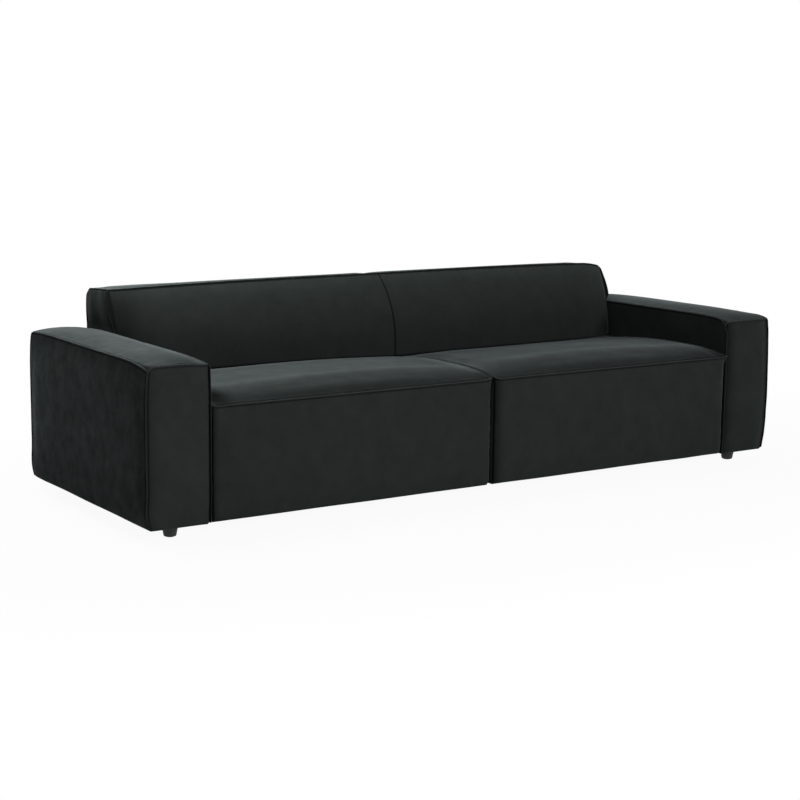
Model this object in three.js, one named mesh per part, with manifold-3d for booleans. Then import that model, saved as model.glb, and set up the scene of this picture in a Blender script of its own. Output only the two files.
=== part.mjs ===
import * as THREE from 'three';
import { mergeVertices } from 'three/addons/utils/BufferGeometryUtils.js';
import Module from 'manifold-3d';

const wasm = await Module();
wasm.setup();

// A long, low box sofa with two wide seats, in millimetres.
// +Z is up, the front faces -Y, and the origin is on the floor under the middle.

// The whole sofa.
const sofaWidth = 2600;
const footHeight = 45;
const coverWall = 20;
const boardThickness = 18;
const panelThickness = 12;
const touchGap = 0.3;
const holeClearance = 0.6;

// Rounded edges of the padded covers.
const seamEdge = 8;
const lowerEdge = 16;
const lowerTuck = 5;
const cornerLift = 5;

// Arms.
const armWidth = 210;
const armSeamHeight = 548;
const armSeamRise = 13;
const armTopCrown = 16;
const armSideCrown = 14;
const armEndCrown = 8;
const armFoamThickness = 30;
const armHangDown = 4;

// Seats.
const seatDepth = 705;
const seatSeamHeight = 418;
const seatFrontProud = 4;
const seatFrontCrown = 4;
const seatArmRise = 25;
const seatSplitRise = 12;
const seatMiddleCrown = 22;
const seatCrownReach = 640;
const seatArmGap = 2;
const seatSplitGap = 6;
const seatFoamThickness = 93;
const centreRailWidth = 40;
const centreRailHeight = 60;
const dustCoverThickness = 1.2;

// Springs under the seats.
const springWire = 4;
const springWidth = 46;
const springPitch = 70;
const springSeat = 12;
const tieWire = 3;
const springsPerSeat = 5;
const tieWiresPerSeat = 2;

// Back.
const backDepth = 235;
const backSeamHeight = 703;
const backTopSetback = 45;
const backEndOverhang = 21;
const backMiddleOverhang = 89;
const backTopCrown = 11;
const backEndCrown = 11;
const backRearEdge = 20;
const backRearCrown = 8;
const backSeamDraw = 3;
const backRestGap = 4;
const backLip = 20;
const backTopFoam = 22;
const backRailHeight = 60;
const backFoamStep = 15;
const backFoamStraight = 65;
const rearPanelThickness = 3;
const strapWidth = 50;
const strapThickness = 2;
const uprightStraps = 4;
const levelStraps = 2;

// Feet, each moulded round its own threaded stud.
const footTopRadius = 28.5;
const footBottomRadius = 20.5;
const footLowerEdge = 4;
const footFromFront = 77;
const studRadius = 4;
const studStandout = 26;

// Bolts that hold the arms, seats and back together.
const boltRadius = 4;
const boltHeadRadius = 8;
const boltHeadHeight = 6;
const boltOverrun = 10;
const seatBoltHeight = 150;
const seatBoltInset = 150;
const backBoltHeight = 300;
const backBoltInset = 74;

// Shapes of the crowns, as powers, and how finely the covers are divided.
const flatCrown = 5;
const softCrown = 2;
const seatCrownSkew = 0.716;
const seatPlateau = 6;
const armFrontShare = 0.5;
const armRearShare = 0.9;
const armEdgeShare = 0.8;
const backEndPower = 2;
const backMiddlePower = 3.7;
const backSpread = 4;
const armSteps = { across: 4, along: 10, up: 5 };
const seatSteps = { across: 8, along: 9, up: 3 };
const backSteps = { along: 3, low: 1, high: 6 };
const footSides = 16;
const boltSides = 12;

// Places that follow from the sizes.
const sofaDepth = seatDepth + backDepth;
const frontY = -sofaDepth / 2;
const rearY = sofaDepth / 2;
const seatRearY = frontY + seatDepth;
const armInnerX = sofaWidth / 2 - armWidth;
const seatOuterX = armInnerX - seatArmGap;
const seatInnerX = seatSplitGap / 2;
const backHalfWidth = armInnerX - touchGap;
const backLowFrontY = seatRearY + backRestGap;
const backTopFrontY = seatRearY + backTopSetback;
const backBoltY = rearY - backBoltInset;
const seatPocketTop = seatSeamHeight - coverWall;
const seatFoamBottom = seatPocketTop - touchGap - seatFoamThickness;
const seatBoardTop = seatFoamBottom - touchGap - springWire - touchGap;
const armPocketTop = armSeamHeight - coverWall;
const backPocketTop = backSeamHeight - coverWall;
const boardBottom = footHeight + touchGap + dustCoverThickness + touchGap;

// Materials, with the colours seen in the picture.
function fabricMaterial() {
  return new THREE.MeshStandardMaterial({ color: 0x2b2f2e, roughness: 0.85, metalness: 0 });
}

function foamMaterial() {
  return new THREE.MeshStandardMaterial({ color: 0xe8dfc4, roughness: 1, metalness: 0 });
}

function woodMaterial() {
  return new THREE.MeshStandardMaterial({ color: 0xb9905a, roughness: 0.7, metalness: 0 });
}

function steelMaterial() {
  return new THREE.MeshStandardMaterial({ color: 0x8c8f92, roughness: 0.4, metalness: 1 });
}

function webbingMaterial() {
  return new THREE.MeshStandardMaterial({ color: 0x26262a, roughness: 0.9, metalness: 0 });
}

function plasticMaterial() {
  return new THREE.MeshStandardMaterial({ color: 0x2d2e2f, roughness: 0.5, metalness: 0 });
}

// Solids for joining and cutting.
function toSolid(geometry) {
  const bare = geometry.clone();
  bare.deleteAttribute('normal');
  bare.deleteAttribute('uv');
  const merged = mergeVertices(bare);
  return new wasm.Manifold(new wasm.Mesh({
    numProp: 3,
    vertProperties: new Float32Array(merged.attributes.position.array),
    triVerts: new Uint32Array(merged.index.array),
  }));
}

function toGeometry(solid) {
  const mesh = solid.getMesh();
  const geometry = new THREE.BufferGeometry();
  geometry.setAttribute('position', new THREE.BufferAttribute(mesh.vertProperties, 3));
  geometry.setIndex(new THREE.BufferAttribute(mesh.triVerts, 1));
  geometry.computeVertexNormals();
  return geometry;
}

function cut(geometry, tools) {
  let solid = toSolid(geometry);
  for (const tool of tools) {
    solid = solid.subtract(toSolid(tool));
  }
  return toGeometry(solid);
}

function join(geometries) {
  let solid = toSolid(geometries[0]);
  for (const other of geometries.slice(1)) {
    solid = solid.add(toSolid(other));
  }
  return toGeometry(solid);
}

function named(name, geometry, material) {
  const mesh = new THREE.Mesh(geometry, material);
  mesh.name = name;
  return mesh;
}

// Boxes are kept as their low and high ends along x, y and z.
function boxGeometry(box) {
  const size = [box.x[1] - box.x[0], box.y[1] - box.y[0], box.z[1] - box.z[0]];
  const geometry = new THREE.BoxGeometry(...size);
  const middle = [box.x[0] + box.x[1], box.y[0] + box.y[1], box.z[0] + box.z[1]].map((sum) => sum / 2);
  geometry.translate(...middle);
  return geometry;
}

function ordered(a, b) {
  return a < b ? [a, b] : [b, a];
}

function shrunk(range, margin) {
  return [range[0] + margin, range[1] - margin];
}

// The room for a bolt along x, running past both ends of its grip.
function boltHole(grip, y, z) {
  const radius = boltRadius + holeClearance;
  const length = grip[1] - grip[0] + 2 * boltOverrun;
  const geometry = new THREE.CylinderGeometry(radius, radius, length, boltSides);
  geometry.rotateZ(Math.PI / 2);
  geometry.translate((grip[0] + grip[1]) / 2, y, z);
  return geometry;
}

// The room for a foot's stud, from the floor to just past the stud's end.
function studHole([x, y]) {
  const radius = studRadius + holeClearance;
  const height = footHeight + studStandout + touchGap;
  const geometry = new THREE.CylinderGeometry(radius, radius, height, footSides);
  geometry.rotateX(Math.PI / 2);
  geometry.translate(x, y, height / 2);
  return geometry;
}

// An outline in the y-z plane, drawn out along x.
function extrudeAlongX(outline, xRange) {
  const shape = new THREE.Shape(outline.map(([y, z]) => new THREE.Vector2(y, z)));
  const geometry = new THREE.ExtrudeGeometry(shape, { depth: xRange[1] - xRange[0], bevelEnabled: false });
  const turn = new THREE.Matrix4().makeBasis(
    new THREE.Vector3(0, 1, 0),
    new THREE.Vector3(0, 0, 1),
    new THREE.Vector3(1, 0, 0),
  );
  geometry.applyMatrix4(turn);
  geometry.translate(xRange[0], 0, 0);
  return geometry;
}

// Crowns: one in the middle of a range and zero at both ends.
function crown(share, power) {
  return 1 - Math.abs(2 * share - 1) ** power;
}

function shareOf(value, range) {
  return THREE.MathUtils.clamp((value - range[0]) / (range[1] - range[0]), 0, 1);
}

// Lattice lines with one line an edge radius in from each end.
function latticeLines(range, edges, steps) {
  const inner = [range[0] + edges[0], range[1] - edges[1]];
  const lines = [range[0]];
  for (let step = 0; step <= steps; step += 1) {
    lines.push(inner[0] + (inner[1] - inner[0]) * step / steps);
  }
  lines.push(range[1]);
  return lines;
}

// The closed skin of a lattice, with every point moved to where place() says.
function latticeGeometry(xLines, yLines, zLines, place) {
  const points = [];
  const faces = [];
  const known = new Map();
  const point = (i, j, k) => {
    const key = `${i} ${j} ${k}`;
    if (!known.has(key)) {
      known.set(key, points.length / 3);
      points.push(...place(xLines[i], yLines[j], zLines[k], k));
    }
    return known.get(key);
  };
  const quad = (a, b, c, d) => faces.push(a, b, c, a, c, d);
  const xLast = xLines.length - 1;
  const yLast = yLines.length - 1;
  const zLast = zLines.length - 1;
  for (let i = 0; i < xLast; i += 1) {
    for (let j = 0; j < yLast; j += 1) {
      quad(point(i, j, 0), point(i, j + 1, 0), point(i + 1, j + 1, 0), point(i + 1, j, 0));
      quad(point(i, j, zLast), point(i + 1, j, zLast), point(i + 1, j + 1, zLast), point(i, j + 1, zLast));
    }
    for (let k = 0; k < zLast; k += 1) {
      quad(point(i, 0, k), point(i + 1, 0, k), point(i + 1, 0, k + 1), point(i, 0, k + 1));
      quad(point(i, yLast, k), point(i, yLast, k + 1), point(i + 1, yLast, k + 1), point(i + 1, yLast, k));
    }
  }
  for (let j = 0; j < yLast; j += 1) {
    for (let k = 0; k < zLast; k += 1) {
      quad(point(0, j, k), point(0, j, k + 1), point(0, j + 1, k + 1), point(0, j + 1, k));
      quad(point(xLast, j, k), point(xLast, j + 1, k), point(xLast, j + 1, k + 1), point(xLast, j, k + 1));
    }
  }
  const geometry = new THREE.BufferGeometry();
  geometry.setAttribute('position', new THREE.Float32BufferAttribute(points, 3));
  geometry.setIndex(faces);
  return geometry;
}

// Pulls a point onto edges rounded by the radii in edge, drawing the lower edge under the piece.
function roundedPoint(point, box, edge) {
  const core = [
    THREE.MathUtils.clamp(point[0], box.x[0] + edge.side, box.x[1] - edge.side),
    THREE.MathUtils.clamp(point[1], box.y[0] + edge.side, box.y[1] - edge.rear),
    THREE.MathUtils.clamp(point[2], box.z[0] + edge.lower, box.z[1] - edge.top),
  ];
  const off = point.map((value, axis) => value - core[axis]);
  const radii = [edge.side, off[1] > 0 ? edge.rear : edge.side, off[2] > 0 ? edge.top : edge.lower];
  const reach = Math.hypot(...off.map((value, axis) => value / radii[axis]));
  const pull = reach > 1 ? 1 / reach : 1;
  const moved = core.map((value, axis) => value + off[axis] * pull);
  const under = THREE.MathUtils.clamp((box.z[0] + edge.lower - moved[2]) / edge.lower, 0, 1);
  moved[0] -= Math.sign(off[0]) * lowerTuck * under;
  moved[1] -= Math.sign(off[1]) * lowerTuck * under;
  return moved;
}

// Arms.
function armBox(side) {
  return {
    x: ordered(side * armInnerX, side * sofaWidth / 2),
    y: [frontY, rearY],
    z: [footHeight - armHangDown, armSeamHeight],
  };
}

function armForm(side) {
  const box = armBox(side);
  const edge = { side: seamEdge, rear: seamEdge, lower: lowerEdge, top: seamEdge };
  const place = (x, y, z) => {
    const across = shareOf(x, box.x);
    const along = shareOf(y, box.y);
    const up = shareOf(z, box.z);
    const spot = roundedPoint([x, y, z], box, edge);
    const middle = crown(along, flatCrown);
    const endShare = armFrontShare + (armRearShare - armFrontShare) * along;
    const outward = Math.max(0, side * spot[0] - armInnerX) / armWidth;
    const endward = shareOf(Math.abs(spot[1]), [rearY - seamEdge, rearY]);
    spot[2] += armSeamRise * middle * up;
    if (z === box.z[1]) {
      spot[2] += armTopCrown * crown(across, softCrown) * (endShare + (1 - endShare) * middle);
    }
    const sideCrown = armSideCrown * (armEdgeShare + (1 - armEdgeShare) * middle);
    spot[0] += side * sideCrown * crown(up, flatCrown) * outward;
    spot[1] += Math.sign(y) * armEndCrown * crown(up, flatCrown) * endward;
    return spot;
  };
  return latticeGeometry(
    latticeLines(box.x, [seamEdge, seamEdge], armSteps.across),
    latticeLines(box.y, [seamEdge, seamEdge], armSteps.along),
    latticeLines(box.z, [lowerEdge, seamEdge], armSteps.up),
    place,
  );
}

function armPocket(side) {
  const box = armBox(side);
  return {
    x: shrunk(box.x, coverWall),
    y: shrunk(box.y, coverWall),
    z: [0, armPocketTop],
  };
}

function armFootPlaces(side) {
  const x = side * (sofaWidth - armWidth) / 2;
  return [[x, frontY + footFromFront], [x, rearY - footFromFront]];
}

function armAssembly(side, word) {
  const group = new THREE.Group();
  const pocket = armPocket(side);
  const inner = { x: shrunk(pocket.x, touchGap), y: shrunk(pocket.y, touchGap) };
  const bottom = [footHeight + touchGap, footHeight + touchGap + boardThickness];
  const foam = [armPocketTop - touchGap - armFoamThickness, armPocketTop - touchGap];
  const top = [foam[0] - touchGap - boardThickness, foam[0] - touchGap];
  const walls = [bottom[1] + touchGap, top[0] - touchGap];
  const front = [inner.y[0], inner.y[0] + boardThickness];
  const rear = [inner.y[1] - boardThickness, inner.y[1]];
  const between = [front[1] + touchGap, rear[0] - touchGap];
  const outerFace = side > 0 ? inner.x[1] : inner.x[0];
  const innerFace = side > 0 ? inner.x[0] : inner.x[1];
  const outerX = ordered(outerFace, outerFace - side * panelThickness);
  const innerX = ordered(innerFace, innerFace + side * panelThickness);
  const holes = [...seatBoltHoles(side), backBoltHole(side)];
  const cover = cut(armForm(side), [boxGeometry(pocket), ...holes]);
  const piece = (part, box) => named(`arm_${word}_${part}`, boxGeometry(box), woodMaterial());
  group.add(named(`arm_${word}_cover`, cover, fabricMaterial()));
  group.add(named(
    `arm_${word}_top_foam`,
    boxGeometry({ x: inner.x, y: inner.y, z: foam }),
    foamMaterial(),
  ));
  group.add(piece('top_board', { x: inner.x, y: inner.y, z: top }));
  group.add(piece('front_board', { x: inner.x, y: front, z: walls }));
  group.add(piece('rear_board', { x: inner.x, y: rear, z: walls }));
  group.add(piece('outer_panel', { x: outerX, y: between, z: walls }));
  group.add(named(
    `arm_${word}_inner_panel`,
    cut(boxGeometry({ x: innerX, y: between, z: walls }), holes),
    woodMaterial(),
  ));
  group.add(named(
    `arm_${word}_bottom_board`,
    cut(boxGeometry({ x: inner.x, y: inner.y, z: bottom }), armFootPlaces(side).map(studHole)),
    woodMaterial(),
  ));
  return group;
}

// Seats.
function seatBox(side) {
  return {
    x: ordered(side * seatInnerX, side * seatOuterX),
    y: [frontY - seatFrontProud, seatRearY],
    z: [footHeight, seatSeamHeight],
  };
}

// Height of a seat's top above its front seam: the edge by the arm rises more than the one at the split.
function seatSwell(x, y) {
  const across = shareOf(Math.abs(x), [seatInnerX, seatOuterX]);
  const reach = shareOf(y, [frontY, frontY + seatCrownReach]);
  const edgeRise = seatSplitRise + (seatArmRise - seatSplitRise) * across;
  const rise = edgeRise * crown(reach ** seatCrownSkew, softCrown);
  const along = shareOf(y, [frontY, seatRearY]);
  return rise + seatMiddleCrown * crown(along, seatPlateau) * crown(across, softCrown);
}

function seatForm(side) {
  const box = seatBox(side);
  const edge = { side: seamEdge, rear: seamEdge, lower: lowerEdge, top: seamEdge };
  const place = (x, y, z) => {
    const across = shareOf(x, box.x);
    const up = shareOf(z, box.z);
    const spot = roundedPoint([x, y, z], box, edge);
    spot[2] += seatSwell(x, y) * up;
    if (y === box.y[0]) {
      spot[1] -= seatFrontCrown * crown(across, flatCrown) * crown(up, flatCrown);
      if (z === box.z[1] && (x === box.x[0] || x === box.x[1])) {
        spot[2] += cornerLift;
      }
    }
    return spot;
  };
  return latticeGeometry(
    seatXLines(side),
    latticeLines(box.y, [seamEdge, seamEdge], seatSteps.along),
    latticeLines(box.z, [lowerEdge, seamEdge], seatSteps.up),
    place,
  );
}

function seatXLines(side) {
  return latticeLines(seatBox(side).x, [seamEdge, seamEdge], seatSteps.across);
}

function seatPocket(side) {
  const box = seatBox(side);
  return {
    x: shrunk(box.x, coverWall),
    y: shrunk(box.y, coverWall),
    z: [0, seatPocketTop],
  };
}

// A spring's steps from one bar across to the next, two to each wave.
function springSteps(yRange) {
  return 2 * Math.round((yRange[1] - yRange[0]) / springPitch);
}

// A flat zigzag wire along y, as bars across joined at alternate ends.
function zigzagShape(x, yRange) {
  const half = springWire / 2;
  const bars = springSteps(yRange);
  const step = (yRange[1] - yRange[0]) / bars;
  const path = [];
  for (let bar = 0; bar <= bars; bar += 1) {
    const y = yRange[0] + bar * step;
    const ends = [x - springWidth / 2 + half, x + springWidth / 2 - half];
    path.push(...(bar % 2 ? ends.reverse() : ends).map((end) => new THREE.Vector2(end, y)));
  }
  const sideOf = (index, sign) => {
    const here = path[index];
    const before = path[Math.max(index - 1, 0)];
    const after = path[Math.min(index + 1, path.length - 1)];
    const offset = new THREE.Vector2();
    for (const [start, stop] of [[before, here], [here, after]]) {
      const way = stop.clone().sub(start).normalize();
      offset.add(new THREE.Vector2(-way.y, way.x));
    }
    return here.clone().addScaledVector(offset, sign * half);
  };
  const left = path.map((_, index) => sideOf(index, 1));
  const right = path.map((_, index) => sideOf(index, -1));
  return new THREE.Shape([...right, ...left.reverse()]);
}

function springDeck(side, inner) {
  const low = seatBoardTop + touchGap;
  const yRange = shrunk(inner.y, springSeat);
  const pitch = (inner.x[1] - inner.x[0]) / springsPerSeat;
  const wires = [];
  for (let spring = 0; spring < springsPerSeat; spring += 1) {
    const x = inner.x[0] + pitch * (spring + 0.5);
    const outline = zigzagShape(x, yRange);
    const wire = new THREE.ExtrudeGeometry(outline, { depth: springWire, bevelEnabled: false });
    wires.push(wire.translate(0, 0, low));
  }
  const reach = shrunk(inner.x, (pitch - springWidth) / 2 - springWire);
  const steps = springSteps(yRange);
  const tieLow = low + (springWire - tieWire) / 2;
  for (let tie = 1; tie <= tieWiresPerSeat; tie += 1) {
    const step = Math.round(steps * tie / (tieWiresPerSeat + 1)) + 0.5;
    const y = yRange[0] + (yRange[1] - yRange[0]) * step / steps;
    const tieY = [y - tieWire / 2, y + tieWire / 2];
    wires.push(boxGeometry({ x: reach, y: tieY, z: [tieLow, tieLow + tieWire] }));
  }
  return join(wires);
}

function seatAssembly(side, word) {
  const group = new THREE.Group();
  const pocket = seatPocket(side);
  const inner = { x: shrunk(pocket.x, touchGap), y: shrunk(pocket.y, touchGap) };
  const walls = [boardBottom, seatBoardTop];
  const dust = [footHeight + touchGap, footHeight + touchGap + dustCoverThickness];
  const foam = [seatFoamBottom, seatPocketTop - touchGap];
  const front = [inner.y[0], inner.y[0] + boardThickness];
  const rear = [inner.y[1] - boardThickness, inner.y[1]];
  const between = [front[1] + touchGap, rear[0] - touchGap];
  const middleX = (inner.x[0] + inner.x[1]) / 2;
  const outerFace = side > 0 ? inner.x[1] : inner.x[0];
  const innerFace = side > 0 ? inner.x[0] : inner.x[1];
  const outerX = ordered(outerFace, outerFace - side * boardThickness);
  const innerX = ordered(innerFace, innerFace + side * boardThickness);
  const armHoles = seatBoltHoles(side);
  const splitHoles = splitBoltHoles();
  const footHole = studHole(centreFootPlace(side));
  const piece = (part, geometry, material) => group.add(named(`seat_${word}_${part}`, geometry, material));
  piece('cover', cut(seatForm(side), [boxGeometry(pocket), ...armHoles, ...splitHoles]), fabricMaterial());
  piece('foam', boxGeometry({ x: inner.x, y: inner.y, z: foam }), foamMaterial());
  piece('springs', springDeck(side, inner), steelMaterial());
  piece('front_board', boxGeometry({ x: inner.x, y: front, z: walls }), woodMaterial());
  piece('rear_board', boxGeometry({ x: inner.x, y: rear, z: walls }), woodMaterial());
  piece('outer_rail', cut(boxGeometry({ x: outerX, y: between, z: walls }), armHoles), woodMaterial());
  piece('inner_rail', cut(boxGeometry({ x: innerX, y: between, z: walls }), splitHoles), woodMaterial());
  piece('centre_rail', cut(boxGeometry({
    x: [middleX - centreRailWidth / 2, middleX + centreRailWidth / 2],
    y: between,
    z: [boardBottom, boardBottom + centreRailHeight],
  }), [footHole]), woodMaterial());
  piece('dust_cover', cut(boxGeometry({ x: inner.x, y: inner.y, z: dust }), [footHole]), webbingMaterial());
  return group;
}

// The back. Its front leans away above the seats and reaches forward most in the middle.
function backFrontY(x, up) {
  const spread = 1 - (Math.abs(x) / backHalfWidth) ** backSpread;
  const foot = seatRearY - backEndOverhang - (backMiddleOverhang - backEndOverhang) * spread;
  const power = backEndPower + (backMiddlePower - backEndPower) * spread;
  const seam = Math.abs(x) <= seatInnerX ? backSeamDraw : 0;
  return foot + (backTopFrontY - foot) * up ** power + seam * (1 - up);
}

function backForm() {
  const box = {
    x: [-backHalfWidth, backHalfWidth],
    y: [backLowFrontY, rearY],
    z: [footHeight, backSeamHeight],
  };
  const edge = { side: seamEdge, rear: backRearEdge, lower: lowerEdge, top: backRearEdge };
  const seatLines = [-1, 1].flatMap((side) => seatXLines(side));
  const xLines = [box.x[0], ...seatLines.filter((x) => Math.abs(x) < seatOuterX), box.x[1]];
  const yLines = latticeLines(box.y, [seamEdge, backRearEdge], backSteps.along);
  const lip = [seatSeamHeight - backLip, seatSeamHeight + backLip];
  const lowLines = latticeLines([box.z[0], lip[0]], [lowerEdge, backLip], backSteps.low);
  const highLines = latticeLines([lip[1], box.z[1]], [backLip, backRearEdge], backSteps.high);
  const zLines = [...lowLines, ...highLines];
  const lipLow = zLines.indexOf(lip[0]);
  const place = (x, y, z, zLine) => {
    const depthShare = 1 - shareOf(y, box.y);
    const spot = roundedPoint([x, y, z], box, edge);
    const up = shareOf(spot[2], [lip[1], box.z[1]]);
    const target = zLine > lipLow ? backFrontY(x, up) : backLowFrontY;
    const stretch = (rearY - target) / (rearY - backLowFrontY);
    spot[1] = rearY - (rearY - spot[1]) * stretch;
    if (zLine === lipLow || zLine === lipLow + 1) {
      const rest = seatSeamHeight + seatSwell(x, Math.min(spot[1], seatRearY)) + backRestGap;
      spot[2] += (rest - spot[2]) * depthShare;
    }
    spot[2] += backTopCrown * crown(shareOf(x, box.x), softCrown) * up * depthShare;
    spot[0] += Math.sign(x) * backEndCrown * shareOf(Math.abs(x), [seatOuterX, backHalfWidth])
      * crown(shareOf(z, [armSeamHeight + armSeamRise + armTopCrown, box.z[1]]), softCrown);
    if (y === rearY) {
      spot[1] += backRearCrown * crown(shareOf(z, box.z), flatCrown);
    }
    return spot;
  };
  return latticeGeometry(xLines, yLines, zLines, place);
}

function backPocket() {
  const lowFront = backLowFrontY + coverWall;
  const foamFront = seatRearY - backEndOverhang + coverWall;
  const topFront = backTopFrontY + coverWall;
  const rear = rearY - coverWall;
  const stepLow = seatSeamHeight + seatMiddleCrown;
  const stepHigh = stepLow + backFoamStep;
  return {
    x: shrunk([-backHalfWidth, backHalfWidth], coverWall),
    lowFront,
    foamFront,
    topFront,
    rear,
    stepHigh,
    outline: [
      [lowFront, 0],
      [rear, 0],
      [rear, backPocketTop],
      [topFront, backPocketTop],
      [foamFront, stepHigh + backFoamStraight],
      [foamFront, stepHigh],
      [lowFront, stepLow],
    ],
  };
}

// Elastic straps woven across one half of the back frame.
function backWebbing(xRange, yRange, zRange) {
  const straps = [];
  const width = (xRange[1] - xRange[0]) / uprightStraps;
  for (let strap = 0; strap < uprightStraps; strap += 1) {
    const x = xRange[0] + width * (strap + 0.5);
    straps.push(boxGeometry({ x: [x - strapWidth / 2, x + strapWidth / 2], y: yRange, z: zRange }));
  }
  for (let strap = 1; strap <= levelStraps; strap += 1) {
    const z = zRange[0] + (zRange[1] - zRange[0]) * strap / (levelStraps + 1);
    straps.push(boxGeometry({ x: xRange, y: yRange, z: [z - strapWidth / 2, z + strapWidth / 2] }));
  }
  return join(straps);
}

function backAssembly() {
  const group = new THREE.Group();
  const pocket = backPocket();
  const inner = shrunk(pocket.x, touchGap);
  const rear = pocket.rear - touchGap;
  const frameFront = pocket.topFront + backTopFoam;
  const top = backPocketTop - touchGap;
  const topRail = [top - boardThickness, top];
  const bottomRail = [footHeight + touchGap, footHeight + touchGap + boardThickness];
  const ribZ = [bottomRail[1] + touchGap, topRail[0] - touchGap];
  const middleRail = [pocket.stepHigh, pocket.stepHigh + backRailHeight];
  const ribFront = frameFront + boardThickness + touchGap;
  const panelFront = rear - rearPanelThickness;
  const web = [frameFront - touchGap - strapThickness, frameFront - touchGap];
  const foamOutline = [
    [pocket.foamFront + touchGap, pocket.stepHigh + touchGap],
    [web[0] - touchGap, pocket.stepHigh + touchGap],
    [web[0] - touchGap, top],
    [pocket.topFront + touchGap, top],
    [pocket.foamFront + touchGap, pocket.stepHigh + backFoamStraight],
  ];
  const holes = [-1, 1].map(backBoltHole);
  const cover = cut(backForm(), [extrudeAlongX(pocket.outline, pocket.x), ...holes]);
  const piece = (part, geometry, material) => group.add(named(`back_${part}`, geometry, material));
  const wood = (part, box) => piece(part, boxGeometry(box), woodMaterial());
  piece('cover', cover, fabricMaterial());
  wood('top_rail', { x: inner, y: [frameFront, rear], z: topRail });
  wood('middle_rail', { x: inner, y: [frameFront, frameFront + boardThickness], z: middleRail });
  wood('bottom_rail', { x: inner, y: [pocket.lowFront + touchGap, rear], z: bottomRail });
  wood('rear_panel', { x: inner, y: [panelFront, rear], z: ribZ });
  const ribY = [ribFront, panelFront - touchGap];
  wood('centre_rib', { x: [-boardThickness / 2, boardThickness / 2], y: ribY, z: ribZ });
  for (const [side, word] of [[-1, 'left'], [1, 'right']]) {
    const ribX = ordered(side * inner[1], side * (inner[1] - boardThickness));
    const halfX = ordered(side * inner[1], side * touchGap);
    const rib = cut(boxGeometry({ x: ribX, y: ribY, z: ribZ }), [backBoltHole(side)]);
    piece(`${word}_rib`, rib, woodMaterial());
    piece(`${word}_webbing`, backWebbing(halfX, web, [middleRail[0] + touchGap, top]), webbingMaterial());
    piece(`${word}_foam`, extrudeAlongX(foamOutline, halfX), foamMaterial());
  }
  return group;
}

// Feet: four under the arms and one under the middle of each seat.
function centreFootPlace(side) {
  const box = seatBox(side);
  return [(box.x[0] + box.x[1]) / 2, (box.y[0] + box.y[1]) / 2];
}

function foot(name, [x, y]) {
  const profile = [
    [0, 0],
    [footBottomRadius - footLowerEdge, 0],
    [footBottomRadius, footLowerEdge],
    [footTopRadius, footHeight],
    [studRadius, footHeight],
    [studRadius, footHeight + studStandout],
    [0, footHeight + studStandout],
  ].map(([radius, height]) => new THREE.Vector2(radius, height));
  const geometry = new THREE.LatheGeometry(profile, footSides);
  geometry.rotateX(Math.PI / 2);
  const mesh = named(name, geometry, plasticMaterial());
  mesh.position.set(x, y, 0);
  return mesh;
}

function feet() {
  const group = new THREE.Group();
  for (const [side, word] of [[-1, 'left'], [1, 'right']]) {
    const [front, rear] = armFootPlaces(side);
    group.add(foot(`foot_front_${word}`, front));
    group.add(foot(`foot_rear_${word}`, rear));
    group.add(foot(`foot_centre_${word}`, centreFootPlace(side)));
  }
  return group;
}

// Bolts. A grip runs between the faces that the head and the nut press on.
function seatBoltPlaces() {
  return [frontY + seatBoltInset, seatRearY - seatBoltInset];
}

function boltGrips(side) {
  const layer = coverWall + touchGap;
  const split = seatInnerX + layer + boardThickness;
  const rail = seatOuterX - layer - boardThickness;
  const rib = backHalfWidth - layer - boardThickness;
  const panel = armInnerX + layer + panelThickness;
  return {
    split: [-split, split],
    seat: ordered(side * rail, side * panel),
    back: ordered(side * rib, side * panel),
  };
}

function seatBoltHoles(side) {
  return seatBoltPlaces().map((y) => boltHole(boltGrips(side).seat, y, seatBoltHeight));
}

function splitBoltHoles() {
  return seatBoltPlaces().map((y) => boltHole(boltGrips(1).split, y, seatBoltHeight));
}

function backBoltHole(side) {
  return boltHole(boltGrips(side).back, backBoltY, backBoltHeight);
}

// A bolt along x with its head and nut.
function bolt(name, grip, y, z) {
  const [low, high] = [grip[0] - touchGap, grip[1] + touchGap];
  const profile = [
    [0, low - boltHeadHeight],
    [boltHeadRadius, low - boltHeadHeight],
    [boltHeadRadius, low],
    [boltRadius, low],
    [boltRadius, high],
    [boltHeadRadius, high],
    [boltHeadRadius, high + boltHeadHeight],
    [0, high + boltHeadHeight],
  ].map(([radius, along]) => new THREE.Vector2(radius, along));
  const geometry = new THREE.LatheGeometry(profile, boltSides);
  geometry.rotateZ(-Math.PI / 2);
  const mesh = named(name, geometry, steelMaterial());
  mesh.position.set(0, y, z);
  return mesh;
}

function bolts() {
  const group = new THREE.Group();
  const [frontBoltY, rearBoltY] = seatBoltPlaces();
  group.add(bolt('seat_bolt_front', boltGrips(1).split, frontBoltY, seatBoltHeight));
  group.add(bolt('seat_bolt_rear', boltGrips(1).split, rearBoltY, seatBoltHeight));
  for (const [side, word] of [[-1, 'left'], [1, 'right']]) {
    const grips = boltGrips(side);
    group.add(bolt(`arm_bolt_front_${word}`, grips.seat, frontBoltY, seatBoltHeight));
    group.add(bolt(`arm_bolt_rear_${word}`, grips.seat, rearBoltY, seatBoltHeight));
    group.add(bolt(`back_bolt_${word}`, grips.back, backBoltY, backBoltHeight));
  }
  return group;
}

const sofa = new THREE.Group();
sofa.add(armAssembly(-1, 'left'));
sofa.add(armAssembly(1, 'right'));
sofa.add(seatAssembly(-1, 'left'));
sofa.add(seatAssembly(1, 'right'));
sofa.add(backAssembly());
sofa.add(feet());
sofa.add(bolts());

export default sofa;
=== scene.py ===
import math
from functools import partial

import bmesh
import bpy
import numpy as np
from mathutils import Matrix, Vector
from mathutils.kdtree import KDTree


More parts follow.
